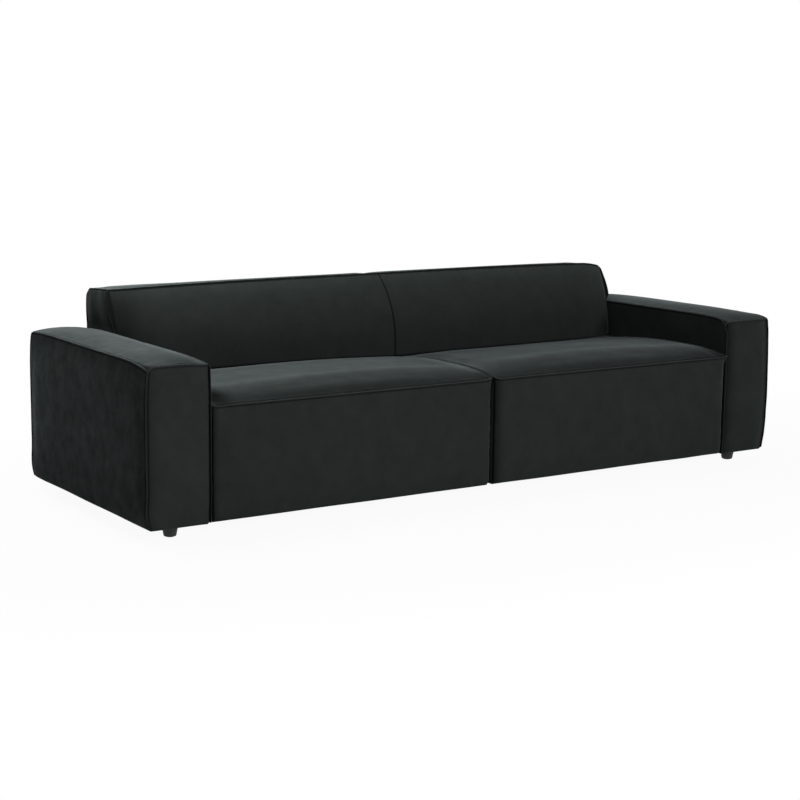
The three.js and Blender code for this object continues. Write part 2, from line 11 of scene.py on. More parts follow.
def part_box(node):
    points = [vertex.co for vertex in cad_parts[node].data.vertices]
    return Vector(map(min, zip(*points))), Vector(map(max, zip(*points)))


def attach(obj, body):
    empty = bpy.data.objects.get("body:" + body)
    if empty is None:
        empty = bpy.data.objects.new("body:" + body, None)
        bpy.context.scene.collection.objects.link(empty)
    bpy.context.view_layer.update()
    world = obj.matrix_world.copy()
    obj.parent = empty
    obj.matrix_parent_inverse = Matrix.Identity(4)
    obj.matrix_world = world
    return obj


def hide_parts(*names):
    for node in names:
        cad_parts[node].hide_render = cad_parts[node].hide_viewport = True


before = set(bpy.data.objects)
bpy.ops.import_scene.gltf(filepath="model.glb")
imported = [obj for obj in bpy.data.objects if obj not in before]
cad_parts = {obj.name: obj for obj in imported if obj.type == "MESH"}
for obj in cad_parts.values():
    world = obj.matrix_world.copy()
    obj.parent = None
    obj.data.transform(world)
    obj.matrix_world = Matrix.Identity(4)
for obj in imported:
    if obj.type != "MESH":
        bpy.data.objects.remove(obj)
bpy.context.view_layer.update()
scene = bpy.context.scene
mm = 0.001
tiny = 1e-6  # two places closer than this are the same
print("frame loaded:", len(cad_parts), "nodes")


def placed(name, data):
    piece = bpy.data.objects.new(name, data)
    scene.collection.objects.link(piece)
    return piece


# Camera, placed where the photograph was taken from.
camera = {
    "place": (-3.5847, -5.3248, 1.3765),
    "yaw": 33.418,  # degrees, from straight ahead towards +X
    "pitch": 9.744,  # degrees, downwards
    "roll": 0.602,
    "lens": 79.648,
}


def makeCamera(values):
    yaw, pitch, roll = (math.radians(values[key]) for key in ("yaw", "pitch", "roll"))
    ahead = Vector((math.sin(yaw) * math.cos(pitch), math.cos(yaw) * math.cos(pitch), -math.sin(pitch)))
    level = Vector((math.cos(yaw), -math.sin(yaw), 0))
    upward = level.cross(ahead)
    right = level * math.cos(roll) + upward * math.sin(roll)
    up = upward * math.cos(roll) - level * math.sin(roll)
    lens = bpy.data.cameras.new("camera")
    lens.lens = values["lens"]
    lens.sensor_width = 36
    eye = placed("camera", lens)
    turn = Matrix((right, up, -ahead)).transposed().to_4x4()
    eye.matrix_world = Matrix.Translation(values["place"]) @ turn
    scene.camera = eye


makeCamera(camera)


# A node socket that adds Math nodes when it is used in an expression.
class Flow:
    def __init__(self, graph, socket):
        self.graph = graph
        self.socket = socket


def mathNode(operation, turned):
    def worked(flow, other):
        first, second = (other, flow) if turned else (flow, other)
        return flow.graph.add("ShaderNodeMath", {"operation": operation}, {0: first, 1: second})
    return worked


for sign, operation in {"add": "ADD", "sub": "SUBTRACT", "mul": "MULTIPLY", "pow": "POWER"}.items():
    setattr(Flow, f"__{sign}__", mathNode(operation, False))
    setattr(Flow, f"__r{sign}__", mathNode(operation, True))


# A node tree that is built node by node.
class Graph:
    def __init__(self, tree):
        self.tree = tree
        tree.nodes.clear()

    def add(self, kind, settings=None, values=None, output=0):
        node = self.tree.nodes.new(kind)
        for key, value in (settings or {}).items():
            setattr(node, key, value)
        for key, value in (values or {}).items():
            if isinstance(value, Flow):
                self.tree.links.new(value.socket, node.inputs[key])
            else:
                node.inputs[key].default_value = value
        return Flow(self, node.outputs[output]) if len(node.outputs) else None

    def vector(self, operation, values, output=0):
        return self.add("ShaderNodeVectorMath", {"operation": operation}, values, output)

    # 1 for rays that show what they hit, 0 for those that only light it
    def seen(self):
        camera, gloss, through = (self.add("ShaderNodeLightPath", output=f"Is {kind} Ray")
                                  for kind in ("Camera", "Glossy", "Transmission"))
        return camera + gloss + through


class Paint(Graph):
    def __init__(self, name):
        self.material = bpy.data.materials.new(name)
        self.material.use_nodes = True
        super().__init__(self.material.node_tree)

    def place(self, stretch=(1, 1, 1)):
        spot = self.add("ShaderNodeTexCoord", output="Object")
        return self.add("ShaderNodeMapping", None, {"Vector": spot, "Scale": stretch})

    def noise(self, scale, detail=2, roughness=0.5, stretch=(1, 1, 1)):
        values = {"Vector": self.place(stretch), "Scale": scale, "Detail": detail, "Roughness": roughness}
        return self.add("ShaderNodeTexNoise", None, values)

    def wave(self, axis, scale, more=None):
        values = {"Vector": self.place(), "Scale": scale, **(more or {})}
        return self.add("ShaderNodeTexWave", {"bands_direction": axis}, values)

    def ramp(self, share, *stops):
        flow = self.add("ShaderNodeValToRGB", None, {0: share})
        for stop, (place, colour) in zip(flow.socket.node.color_ramp.elements, stops):
            stop.position, stop.color = place, colour
        return flow

    def mark(self, name):
        return self.add("ShaderNodeAttribute", {"attribute_name": name}, None, "Fac")

    def bump(self, height, distance, strength=1.0, under=None):
        values = {"Height": height, "Distance": distance, "Strength": strength}
        if under is not None:
            values["Normal"] = under
        return self.add("ShaderNodeBump", None, values)

    def shader(self, **values):
        names = {"colour": "Base Color", "specular": "Specular IOR Level", "sheen": "Sheen Weight"}
        inputs = {names.get(key, key.capitalize()): value for key, value in values.items()}
        return self.add("ShaderNodeBsdfPrincipled", None, inputs)

    def ended(self, shader):
        self.add("ShaderNodeOutputMaterial", None, {"Surface": shader})
        return self.material

    def finish(self, share, stops, **values):
        colour = self.ramp(share, *((place, (*tone, 1)) for place, tone in stops))
        return self.ended(self.shader(colour=colour, **values))


# Finishes.
velvet = {
    "dark": (0.0130, 0.0155, 0.0148, 1),
    "light": (0.0286, 0.0333, 0.0320, 1),
    "creaseShade": (0.0040, 0.0048, 0.0046, 1),  # painted shade: near black down in the seam creases, where shadow falls and the pile parts
    "sheenPaintDark": (0.110, 0.127, 0.127, 1),  # painted sheen: the pile's tips, a lighter colour where the cloth is seen at a grazing angle
    "sheenPaintLight": (0.310, 0.352, 0.352, 1),
    "spread": (0.34, 0.66),  # from where to where the noise goes from darkest to lightest
    "calm": 0.22,  # how much of the patches shows where the cloth isn't bruised
    # how quickly the painted sheen grows towards grazing views
    "sheenPaintPower": 5.0,
    "roughness": 0.8,
    "pile": 1100.0,  # grains to the metre
    "brushed": 16.0,  # patches to the metre
}


def makeVelvet(values):
    paint = Paint("velvet_pile")
    patches = paint.noise(values["brushed"], 3, 0.6, (1, 1, 0.85))
    streaks = paint.noise(90, 4, 0.6, (1, 1, 0.45))
    pile = paint.noise(values["pile"], 2, 0.6)
    bruised = paint.mark("bruise") * (1 - values["calm"]) + values["calm"]
    brushed = (patches * 0.62 + streaks * 0.2 - 0.41) * bruised + 0.41 + pile * 0.18
    low, high = values["spread"]
    shade = paint.ramp(brushed, (low, values["dark"]), (high, values["light"]))
    # painted sheen: a lighter colour for the pile's tips, mixed in by how grazing the view is
    sheenTone = paint.ramp(brushed, (low, values["sheenPaintDark"]), (high, values["sheenPaintLight"]))
    leaning = paint.bump(streaks, 0.0003, 0.3)
    facing = paint.add("ShaderNodeLayerWeight", None, {"Blend": 0.5, "Normal": leaning}, 1)
    grazingSheen = facing ** values["sheenPaintPower"]
    seen = paint.add("ShaderNodeMix", {"data_type": "RGBA"}, {0: grazingSheen, 6: shade, 7: sheenTone}, 2)
    # painted light and shade: the patches and the welts' values scale the colour
    cloth = paint.vector("SCALE", {0: seen, "Scale": paint.mark("nap") + 1})
    roughness = values["roughness"] + (pile - 0.5) * 0.15
    fine = paint.bump(pile, 0.0005, 0.5)
    soft = paint.bump(streaks, 0.0006, 0.35, fine)
    standing = paint.shader(colour=cloth, roughness=roughness, normal=soft, specular=0.0)
    # painted shade for the seam creases: a near-black shader mixed in where their shadow falls
    shadedCrease = paint.shader(colour=values["creaseShade"], roughness=roughness, normal=soft, specular=0.0)
    both = paint.add("ShaderNodeMixShader", None, {0: paint.mark("crease"), 1: standing, 2: shadedCrease})
    return paint.ended(both)


def makeLining():
    paint = Paint("lining_cloth")
    weave = paint.wave("X", 220.0) * 0.5 + paint.wave("Z", 220.0) * 0.5
    return paint.finish(weave, [(0.2, (0.02, 0.02, 0.021)), (0.9, (0.045, 0.045, 0.047))],
                        roughness=0.75 + weave * 0.2, normal=paint.bump(weave, 0.0003))


def makeWood():
    paint = Paint("plywood")
    grain = paint.noise(14, 6, 0.62, (1, 9, 1))
    rings = paint.wave("Y", 9.0, {"Distortion": 7.0, "Detail": 3.0})
    figure = grain * 0.6 + rings * 0.25 + paint.wave("Z", 110.0) * 0.15
    return paint.finish(figure, [(0.25, (0.33, 0.17, 0.065)), (0.75, (0.58, 0.36, 0.16))],
                        roughness=0.6 + grain * 0.2, normal=paint.bump(figure, 0.0004, 0.5))


def makeFoam():
    paint = Paint("cut_foam")
    cells = paint.add("ShaderNodeTexVoronoi", None, {"Vector": paint.place(), "Scale": 620.0})
    broad = paint.noise(5)
    return paint.finish(broad, [(0.3, (0.74, 0.66, 0.46)), (0.7, (0.86, 0.8, 0.62))],
                        roughness=0.85 + broad * 0.1, normal=paint.bump(cells, 0.0008, 0.6))


def makeSteel():
    paint = Paint("spring_steel")
    drawn = paint.noise(300, 4, 0.6, (1, 0.05, 1))
    return paint.finish(paint.noise(30, 3), [(0.3, (0.4, 0.41, 0.42)), (0.7, (0.56, 0.57, 0.58))],
                        metallic=1.0, roughness=0.28 + drawn * 0.2, normal=paint.bump(drawn, 0.0001, 0.4))


def makeWebbing():
    paint = Paint("woven_webbing")
    felt = paint.noise(700, 3)
    weave = paint.wave("X", 130.0) * 0.4 + paint.wave("Z", 90.0) * 0.3 + felt * 0.3
    return paint.finish(weave, [(0.25, (0.010, 0.010, 0.011)), (0.8, (0.034, 0.034, 0.037))],
                        roughness=0.7 + felt * 0.25, normal=paint.bump(weave, 0.0004))


def makePlastic():
    paint = Paint("moulded_plastic")
    scuffs = paint.noise(60, 5, 0.7, (1, 1, 0.3))
    bump = paint.bump(paint.noise(900, 3, 0.6), 0.0002, 0.5)
    return paint.finish(scuffs, [(0.35, (0.011, 0.012, 0.012)), (0.75, (0.021, 0.023, 0.0225))],
                        roughness=0.42 + scuffs * 0.25, normal=bump, specular=0.25)


def makeFelt():
    paint = Paint("felt_pad")
    fibres = paint.noise(1500, 4, 0.7)
    return paint.finish(fibres, [(0.3, (0.012, 0.012, 0.012)), (0.7, (0.05, 0.05, 0.05))],
                        roughness=0.9 + fibres * 0.1, normal=paint.bump(fibres, 0.0005), sheen=0.3)


velvetCloth = makeVelvet(velvet)
liningCloth = makeLining()
plywood = makeWood()
softFoam = makeFoam()
springSteel = makeSteel()
blackWebbing = makeWebbing()
blackPlastic = makePlastic()
feltPad = makeFelt()
print("materials made")


# CAD nodes that stay get a finer finish, by a word in their names.
def dressNodes():
    finishes = {"foam": softFoam, "spring": springSteel, "bolt": springSteel, "webbing": blackWebbing,
                "dust_cover": blackWebbing, "": plywood}
    for name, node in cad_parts.items():
        if name.endswith("cover") and "dust" not in name or name.startswith("foot"):
            continue
        for slot in node.material_slots:
            slot.material = next(finish for word, finish in finishes.items() if word in name)


dressNodes()


# Meshes from arrays.
def makeMesh(name, points, faces, materials, smooth=True, edges=()):
    mesh = bpy.data.meshes.new(name)
    mesh.from_pydata([tuple(point) for point in points], edges, [tuple(face) for face in faces])
    for material in materials:
        mesh.materials.append(material)
    if smooth:
        mesh.shade_smooth()
    return placed(name, mesh)


# Puts the mesh that a piece's modifiers make in the place of its own.
def bake(piece):
    graph = bpy.context.evaluated_depsgraph_get()
    made = bpy.data.meshes.new_from_object(piece.evaluated_get(graph))
    piece.modifiers.clear()
    old, piece.data = piece.data, made
    bpy.data.meshes.remove(old)


def clipped(share):
    return np.clip(share, 0, 1)


def shareOf(value, low, high):
    return clipped((value - low) / (high - low))


def crown(share, power):
    return 1 - np.abs(2 * share - 1) ** power


def bell(distance, width):
    return np.exp(-(distance / width) ** 2)


# Gentle unevenness in -1 to 1: waves in many directions, the same on each run.
def unevenness(points, wavelength, seed, count=14):
    draw = np.random.RandomState(seed)
    total = np.zeros(len(points))
    for _ in range(count):
        way = draw.normal(size=3)
        way /= np.linalg.norm(way)
        length = wavelength * draw.uniform(0.7, 1.6)
        total += np.sin(points @ way * 2 * math.pi / length + draw.uniform(0, 2 * math.pi))
    return total / math.sqrt(count)


# Lattice lines from one place to another, through the extra places between them.
def linesThrough(fill, low, high, extras=()):
    stops = [low, *extras, high]
    lines = [fill(start, stop) for start, stop in zip(stops, stops[1:])]
    return np.unique(np.round(np.concatenate(lines), 7))


# The fine ones are close together at the ends and evenly spaced between.
lattice = {
    "near": np.array([0, 1.5, 3, 4.5, 6, 8, 10.5, 14, 19, 26, 35]) * mm,
    "step": 12 * mm,
}


def fineLines(start, stop):
    near = lattice["near"]
    close = near[near <= min(near[-1], (stop - start) / 2.2)]
    count = math.ceil((stop - start - 2 * close[-1]) / lattice["step"]) + 1
    inner = np.linspace(start + close[-1], stop - close[-1], max(2, count))
    return np.concatenate([start + close, inner, stop - close])


# The closed skin of a lattice: its points, their ids by line numbers, and its quads.
def latticeSkin(xs, ys, zs):
    skin = np.zeros((len(xs), len(ys), len(zs)), bool)
    skin[[0, -1]] = True
    skin[:, [0, -1]] = True
    skin[:, :, [0, -1]] = True
    ids = np.full(skin.shape, -1)
    ids[skin] = np.arange(skin.sum())
    i, j, k = np.nonzero(skin)
    points = np.stack([xs[i], ys[j], zs[k]], 1)
    faces = []
    for grid, flipped in (
        (ids[:, :, -1], False), (ids[:, :, 0], True),
        (ids[:, 0, :], False), (ids[:, -1, :], True),
        (ids[0, :, :], True), (ids[-1, :, :], False),
    ):
        quads = np.stack([grid[:-1, :-1], grid[1:, :-1], grid[1:, 1:], grid[:-1, 1:]], -1).reshape(-1, 4)
        faces.append(quads[:, ::-1] if flipped else quads)
    return points, ids, np.concatenate(faces)


# Each side of a box, as its axis and its end.
sideOf = {
    "left": (0, -1), "right": (0, 1),
    "front": (1, -1), "rear": (1, 1),
    "bottom": (2, -1), "top": (2, 1),
}


# Distance of each lattice point from each side of its box.
def fromSides(points, box):
    return {side: end * (box[axis][max(end, 0)] - points[:, axis]) for side, (axis, end) in sideOf.items()}


# Points pulled onto rounded edges, with the lower edge drawn under the piece.
def rounded(points, box, edge):
    (x0, x1), (y0, y1), (z0, z1) = box
    rearward = shareOf(points[:, 1], y1 - 2.6 * edge["rear"], y1 - 1.2 * edge["rear"])
    top = edge["top"] + (edge["rear"] - edge["top"]) * rearward
    core = np.stack([
        np.clip(points[:, 0], x0 + edge["side"], x1 - edge["side"]),
        np.clip(points[:, 1], y0 + edge["side"], y1 - edge["rear"]),
        np.minimum(np.maximum(points[:, 2], z0 + edge["lower"]), z1 - top),
    ], 1)
    off = points - core
    radii = np.stack([
        np.full(len(points), edge["side"]),
        np.where(off[:, 1] > 0, edge["rear"], edge["side"]),
        np.where(off[:, 2] > 0, top, edge["lower"]),
    ], 1)
    reach = np.linalg.norm(off / radii, axis=1)
    moved = core + off / np.maximum(reach, 1)[:, None]
    under = clipped((z0 + edge["lower"] - moved[:, 2]) / edge["lower"])
    moved[:, :2] -= np.sign(off[:, :2]) * (edge["tuck"] * under)[:, None]
    return moved


# Corners of the box drawn in, so that the seams which meet there turn in arcs.
def cornered(points, flat, box, corners):
    sides = fromSides(flat, box)
    moved = points.copy()
    for names, radii in corners:
        near = np.stack([clipped(1 - sides[name] / radius) for name, radius in zip(names, radii)], 1)
        near.sort(1)
        shrink = 1 / np.maximum(1, np.hypot(near[:, 0], near[:, 1]))
        inside = near[:, 0] > 0
        core = np.zeros(3)
        for name, radius in zip(names, radii):
            axis, end = sideOf[name]
            core[axis] = box[axis][max(end, 0)] - end * radius
        moved[inside] = core + (points[inside] - core) * shrink[inside, None]
    return moved


def pointNormals(points, faces):
    corners = points[faces]
    normals = np.cross(corners[:, 2] - corners[:, 0], corners[:, 3] - corners[:, 1])
    total = np.zeros_like(points)
    for corner in range(4):
        np.add.at(total, faces[:, corner], normals)
    return total / np.maximum(np.linalg.norm(total, axis=1), 1e-12)[:, None]


# Seams: a narrow crease beside each welt, and small puckers that fade away from it.
seams = {
    "grooveDepth": 3.6 * mm,
    "grooveWidth": 5.5 * mm,
    "puckerHeight": 0.7 * mm,
    "puckerLength": 34 * mm,
    "puckerReach": 22 * mm,
    "foamHeight": 0.45 * mm,
    "foamLength": 260 * mm,
    "earReach": 16 * mm,
    "foamFade": 60 * mm,
    "bare": 6 * mm,  # no puckers this close to the seam line
}


# Everything a cover's surface does beyond its main form, and the painted shade along its seams. A seam is
# given by its two faces and by how dark the painted shade of its crease is on each of them, darker on the
# side where shadow falls. Welted seams carry a ridge, plain ones only a line.
def sewn(flat, points, faces, sides, edges, line, seed):
    normals = pointNormals(points, faces)
    height = np.zeros(len(points))
    mark = np.zeros(len(points))
    nearest = np.full(len(points), 1.0)
    for first, second, onFirst, onSecond, *_ in edges:
        gap = sides[first] + sides[second]
        nearest = np.minimum(nearest, gap)
        strength = np.minimum(1, np.where(sides[first] < tiny, onFirst, onSecond))
        depth = seams["grooveDepth"] * np.where(gap < tiny, 1, 0.5 + 0.5 * strength)
        height = np.minimum(height, -depth * bell(gap, seams["grooveWidth"]))
        # painted shade beside the seam, as dark as each face's crease is given
        inside = np.maximum(0, gap - line[0])
        mark = np.maximum(mark, strength * bell(inside, line[1]))
    pucker = unevenness(flat, seams["puckerLength"], seed)
    height += seams["puckerHeight"] * pucker * bell(nearest, seams["puckerReach"]) * (nearest > seams["bare"])
    away = 1 - bell(nearest, seams["foamFade"])
    height += seams["foamHeight"] * unevenness(flat, seams["foamLength"], seed + 1) * away
    return points + normals * height[:, None], mark


# The cloth pass. A coarse copy of the form is blown up a little between its seams by Blender's cloth
# solver, and how far each of its points went is then read off for the fine lattice.
cloth = {
    "spacing": 20 * mm,
    "frames": 20,
    "most": 5 * mm,
    "sunk": 2.2 * mm,  # the form starts this much smaller, because the cloth swells
    "seamReach": 26 * mm,
    "footReach": 40 * mm,
    "grip": 1.6,  # how soon the cloth comes free beside what holds it
    "solver": {
        "quality": 5,
        "mass": 0.35,
        "tension_stiffness": 12,
        "compression_stiffness": 12,
        "shear_stiffness": 6,
        "bending_stiffness": 4,
        "use_pressure": True,
        "uniform_pressure_force": 4.0,
        "vertex_group_mass": "held",
    },
}


def coarseLines(start, stop):
    return np.linspace(start, stop, max(3, round((stop - start) / cloth["spacing"]) + 1))


def simulated(points, faces, held):
    piece = makeMesh("cloth_pass", points, faces, [], False)
    group = piece.vertex_groups.new(name="held")
    for spot, weight in enumerate(held):
        group.add([spot], float(weight), "REPLACE")
    solver = piece.modifiers.new("cloth", "CLOTH")
    for key, value in cloth["solver"].items():
        setattr(solver.settings, key, value)
    solver.settings.effector_weights.gravity = 0
    solver.collision_settings.use_collision = False
    solver.collision_settings.use_self_collision = False
    solver.point_cache.frame_start = 1
    solver.point_cache.frame_end = cloth["frames"]
    for step in range(1, cloth["frames"] + 1):
        scene.frame_set(step)
    graph = bpy.context.evaluated_depsgraph_get()
    mesh = piece.evaluated_get(graph).data
    moved = np.empty(len(points) * 3)
    mesh.vertices.foreach_get("co", moved)
    bpy.data.meshes.remove(piece.data)
    scene.frame_set(1)
    return moved.reshape(-1, 3) - points


def gridValue(lines, values, flat):
    spots, shares = [], []
    for axis, along in enumerate(lines):
        spot = np.clip(np.searchsorted(along, flat[:, axis], side="right") - 1, 0, len(along) - 2)
        spots.append(spot)
        shares.append(clipped((flat[:, axis] - along[spot]) / (along[spot + 1] - along[spot])))
    total = np.zeros((len(flat), 3))
    for corner in range(8):
        steps = [(corner >> axis) & 1 for axis in range(3)]
        weight = np.ones(len(flat))
        for share, step in zip(shares, steps):
            weight *= share if step else 1 - share
        total += values[tuple(spot + step for spot, step in zip(spots, steps))] * weight[:, None]
    return total


def clothMoves(form, fineFlat, free):
    lines, (flat, points, ids, faces, box) = form(partial(linesThrough, coarseLines))
    room = free(flat, box)
    normals = pointNormals(points, faces)
    start = points - normals * (cloth["sunk"] * room)[:, None]
    moves = simulated(start, faces, 1 - clipped(room * cloth["grip"])) + start - points
    length = np.linalg.norm(moves, axis=1)
    moves *= (np.minimum(length, cloth["most"]) / np.maximum(length, 1e-9))[:, None]
    values = np.zeros(ids.shape + (3,))
    values[ids >= 0] = moves[ids[ids >= 0]]
    print("cloth pass:", len(points), "points, at most", round(length.max() * 1000, 2), "mm")
    return gridValue(lines, values, fineFlat)


# Cuts a cover's pocket and bolt holes. Their walls get the cutters' plain cloth.
def hollow(cover, cutters):
    for cutter in cutters:
        cut = cover.modifiers.new("pocket", "BOOLEAN")
        cut.operation = "DIFFERENCE"
        cut.solver = "MANIFOLD"
        cut.object = cutter
    bake(cover)
    for cutter in cutters:
        bpy.data.objects.remove(cutter)
    cover.data.set_sharp_from_angle(angle=math.radians(50))


# A hole for a straight piece along X, by its outline in Y and Z.
def outlineCutter(outline, x0, x1):
    count = len(outline)
    points = [(x, y, z) for x in (x0, x1) for y, z in outline]
    faces = [tuple(range(count))[::-1], tuple(range(count, 2 * count))]
    faces += [(i, (i + 1) % count, (i + 1) % count + count, i + count) for i in range(count)]
    return makeMesh("cutter", points, faces, [liningCloth], False)


# A pocket that is open at the bottom, for everything up to a foam block's top.
pocketGap = 0.3 * mm


def pocketCutter(foamNode):
    low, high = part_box(foamNode)
    y0, y1, top = low.y - pocketGap, high.y + pocketGap, high.z + pocketGap
    return outlineCutter([(y0, 0), (y1, 0), (y1, top), (y0, top)], low.x - pocketGap, high.x + pocketGap)


boltHole = {"radius": 4.6 * mm, "sides": 24}


def boltCutter(node):
    low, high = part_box(node)
    middle = (low + high) / 2
    radius, sides = boltHole["radius"], boltHole["sides"]
    turns = [2 * math.pi * i / sides for i in range(sides)]
    outline = [(middle.y + math.cos(turn) * radius, middle.z + math.sin(turn) * radius) for turn in turns]
    return outlineCutter(outline, low.x, high.x)


# Welts: a tube of the same velvet along a seam, made by Geometry Nodes.
welt = {
    "radius": 3.4 * mm,
    "spacing": 5 * mm,
    "wander": 1.4 * mm,
    "seed": 5,
    "sink": 0.6 * mm,  # how far its middle lies below the cloth's edge
    # painted light: how much lighter the welts' colour is made
    "nap": 0.35,
    "ease": 2,  # how many times its corners are smoothed
    "trim": 5 * mm,
    # how dark the painted shade on a welt's darker side gets
    "shade": 0.9,
}


def weltTree():
    tree = bpy.data.node_groups.new("welt along a seam", "GeometryNodeTree")
    tree.is_modifier = True
    tree.interface.new_socket("Geometry", in_out="OUTPUT", socket_type="NodeSocketGeometry")
    kinds = {"Geometry": "Geometry", "Radius": "Float", "Spacing": "Float", "Wander": "Float", "Seed": "Int",
             "Cloth": "Material"}
    for label, kind in kinds.items():
        tree.interface.new_socket(label, in_out="INPUT", socket_type=f"NodeSocket{kind}")
    graph = Graph(tree)
    inlet = tree.nodes.new("NodeGroupInput")
    given = {label: Flow(graph, inlet.outputs[label]) for label in kinds}
    path = graph.add("GeometryNodeMeshToCurve", None, {"Mesh": given["Geometry"]})
    steps = graph.add("GeometryNodeResampleCurve", {"mode": "LENGTH"},
                      {"Curve": path, "Length": given["Spacing"]})
    place = graph.add("GeometryNodeInputPosition")
    noise = graph.add("ShaderNodeTexNoise", {"noise_dimensions": "4D"},
                      {"Vector": place, "W": given["Seed"], "Scale": 26.0, "Detail": 2.0}, "Color")
    centred = graph.vector("SUBTRACT", {0: noise, 1: (0.5, 0.5, 0.5)})
    offset = graph.vector("SCALE", {0: centred, "Scale": given["Wander"]})
    moved = graph.add("GeometryNodeSetPosition", None, {"Geometry": steps, "Offset": offset})
    ring = graph.add("GeometryNodeCurvePrimitiveCircle", None, {"Resolution": 10, "Radius": given["Radius"]})
    tube = graph.add("GeometryNodeCurveToMesh", None,
                     {"Curve": moved, "Profile Curve": ring, "Fill Caps": True})
    smooth = graph.add("GeometryNodeSetShadeSmooth", None, {0: tube})
    whole = graph.add("GeometryNodeRealizeInstances", None, {0: smooth})
    cloth = graph.add("GeometryNodeSetMaterial", None, {"Geometry": whole, "Material": given["Cloth"]})
    graph.add("NodeGroupOutput", None, {0: cloth})
    return tree


weltAlongSeam = weltTree()


# Runs the welt tree on a mesh of paths.
def grown(name, paths):
    starts = np.cumsum([0, *map(len, paths)])
    edges = [(i, i + 1) for start, stop in zip(starts, starts[1:]) for i in range(start, stop - 1)]
    piece = makeMesh(name, np.concatenate(paths), [], [], False, edges)
    growth = piece.modifiers.new("growth", "NODES")
    growth.node_group = weltAlongSeam
    for item in weltAlongSeam.interface.items_tree:
        if item.in_out == "INPUT" and item.name != "Geometry":
            growth[item.identifier] = velvetCloth if item.name == "Cloth" else welt[item.name.lower()]
    bake(piece)
    return piece


# Seam paths run along the lattice's edges, a little below the cloth's own edge or proud of it. Each point
# also knows which way the sides with painted shade lie, and how much painted light it carries.
def seamPath(points, normals, ids, edge):
    first, second, onFirst, onSecond, *more = edge
    looks = more[0] if more else {}
    index = [slice(None)] * 3
    way = np.zeros(3)
    for side, sign in ((first, 1), (second, -1)):
        axis, end = sideOf[side]
        index[axis] = -max(end, 0)
        way[axis] = sign * end / math.sqrt(2)
    along = ids[tuple(index)]
    places = points[along] + normals[along] * looks.get("proud", -welt["sink"])
    nap = looks.get("nap", welt["nap"])
    return np.hstack([places, np.tile([*way, onFirst, onSecond, nap], (len(places), 1))])


def apart(first, second):
    return np.linalg.norm(first[:3] - second[:3])


# Edges that one welt follows, end to end, with their corners eased.
def chained(edges, points, normals, ids):
    parts = [seamPath(points, normals, ids, edge) for edge in edges]
    for spot, part in enumerate(parts):
        if spot:
            turn = apart(part[-1], parts[spot - 1][-1]) < apart(part[0], parts[spot - 1][-1])
        else:
            following = parts[min(1, len(parts) - 1)]
            ends = [min(apart(part[end], following[other]) for other in (0, -1)) for end in (0, -1)]
            turn = len(parts) > 1 and ends[0] < ends[1]
        if turn:
            parts[spot] = part[::-1]
    path = np.concatenate(parts)
    gone = np.concatenate([[0], np.cumsum(np.linalg.norm(np.diff(path[:, :3], axis=0), axis=1))])
    stops = np.linspace(welt["trim"], gone[-1] - welt["trim"], max(4, round(gone[-1] / welt["spacing"])))
    path = np.stack([np.interp(stops, gone, column) for column in path.T], 1)
    for _ in range(welt["ease"]):
        path[1:-1] = path[1:-1] / 2 + (path[:-2] + path[2:]) / 4
    return path


# A welt's colour is painted darker, as shade, on the side of a dark crease. A strength over 1 reaches further
# round it.
def makeWelts(name, chains):
    piece = grown(name, [path[:, :3] for path in chains])
    stations = np.concatenate(chains)
    tree = KDTree(len(stations))
    for spot, station in enumerate(stations):
        tree.insert(station[:3], spot)
    tree.balance()
    near = stations[[tree.find(vertex.co)[1] for vertex in piece.data.vertices]]
    normals = np.array([tuple(vertex.normal) for vertex in piece.data.vertices])
    lean = (normals * near[:, 3:6]).sum(1)
    dark = np.zeros(len(lean))
    for strength, side in ((near[:, 6], lean), (near[:, 7], -lean)):
        start = 0.2 - 0.5 * np.maximum(0, strength - 1)
        dark = np.maximum(dark, np.minimum(strength, 1) * clipped((side - start) / 0.5))
    setMark(piece, "crease", dark * welt["shade"])
    setMark(piece, "nap", near[:, 8])
    return piece


def declare(piece, node):
    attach(piece, "root")
    if node:
        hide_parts(node)


def setMark(piece, name, values):
    layer = piece.data.attributes.new(name, "FLOAT", "POINT")
    layer.data.foreach_set("value", np.asarray(values, np.float32))


# Painted light and shade in the cloth's colour, as lighter and darker areas where light and shade fall: each
# patch names a face, how far from which sides it is centred and how wide it is, and how much lighter it makes
# the cloth.
def lightAndShadePatches(sides, patches):
    total = np.zeros(len(sides["top"]))
    for face, spots, amount in patches:
        share = amount * (sides[face] < tiny)
        for side, (place, reach) in spots.items():
            share = share * bell(sides[side] - place, reach)
        total += share
    return np.maximum(total, -0.95)


# How free the cloth is: not at all along the seams and underneath.
def seamRoom(edges, flat, box):
    sides = fromSides(flat, box)
    room = 1 - bell(sides["bottom"], cloth["footReach"])
    for first, second, *_ in edges:
        room = room * (1 - bell(sides[first] + sides[second], cloth["seamReach"]))
    return room


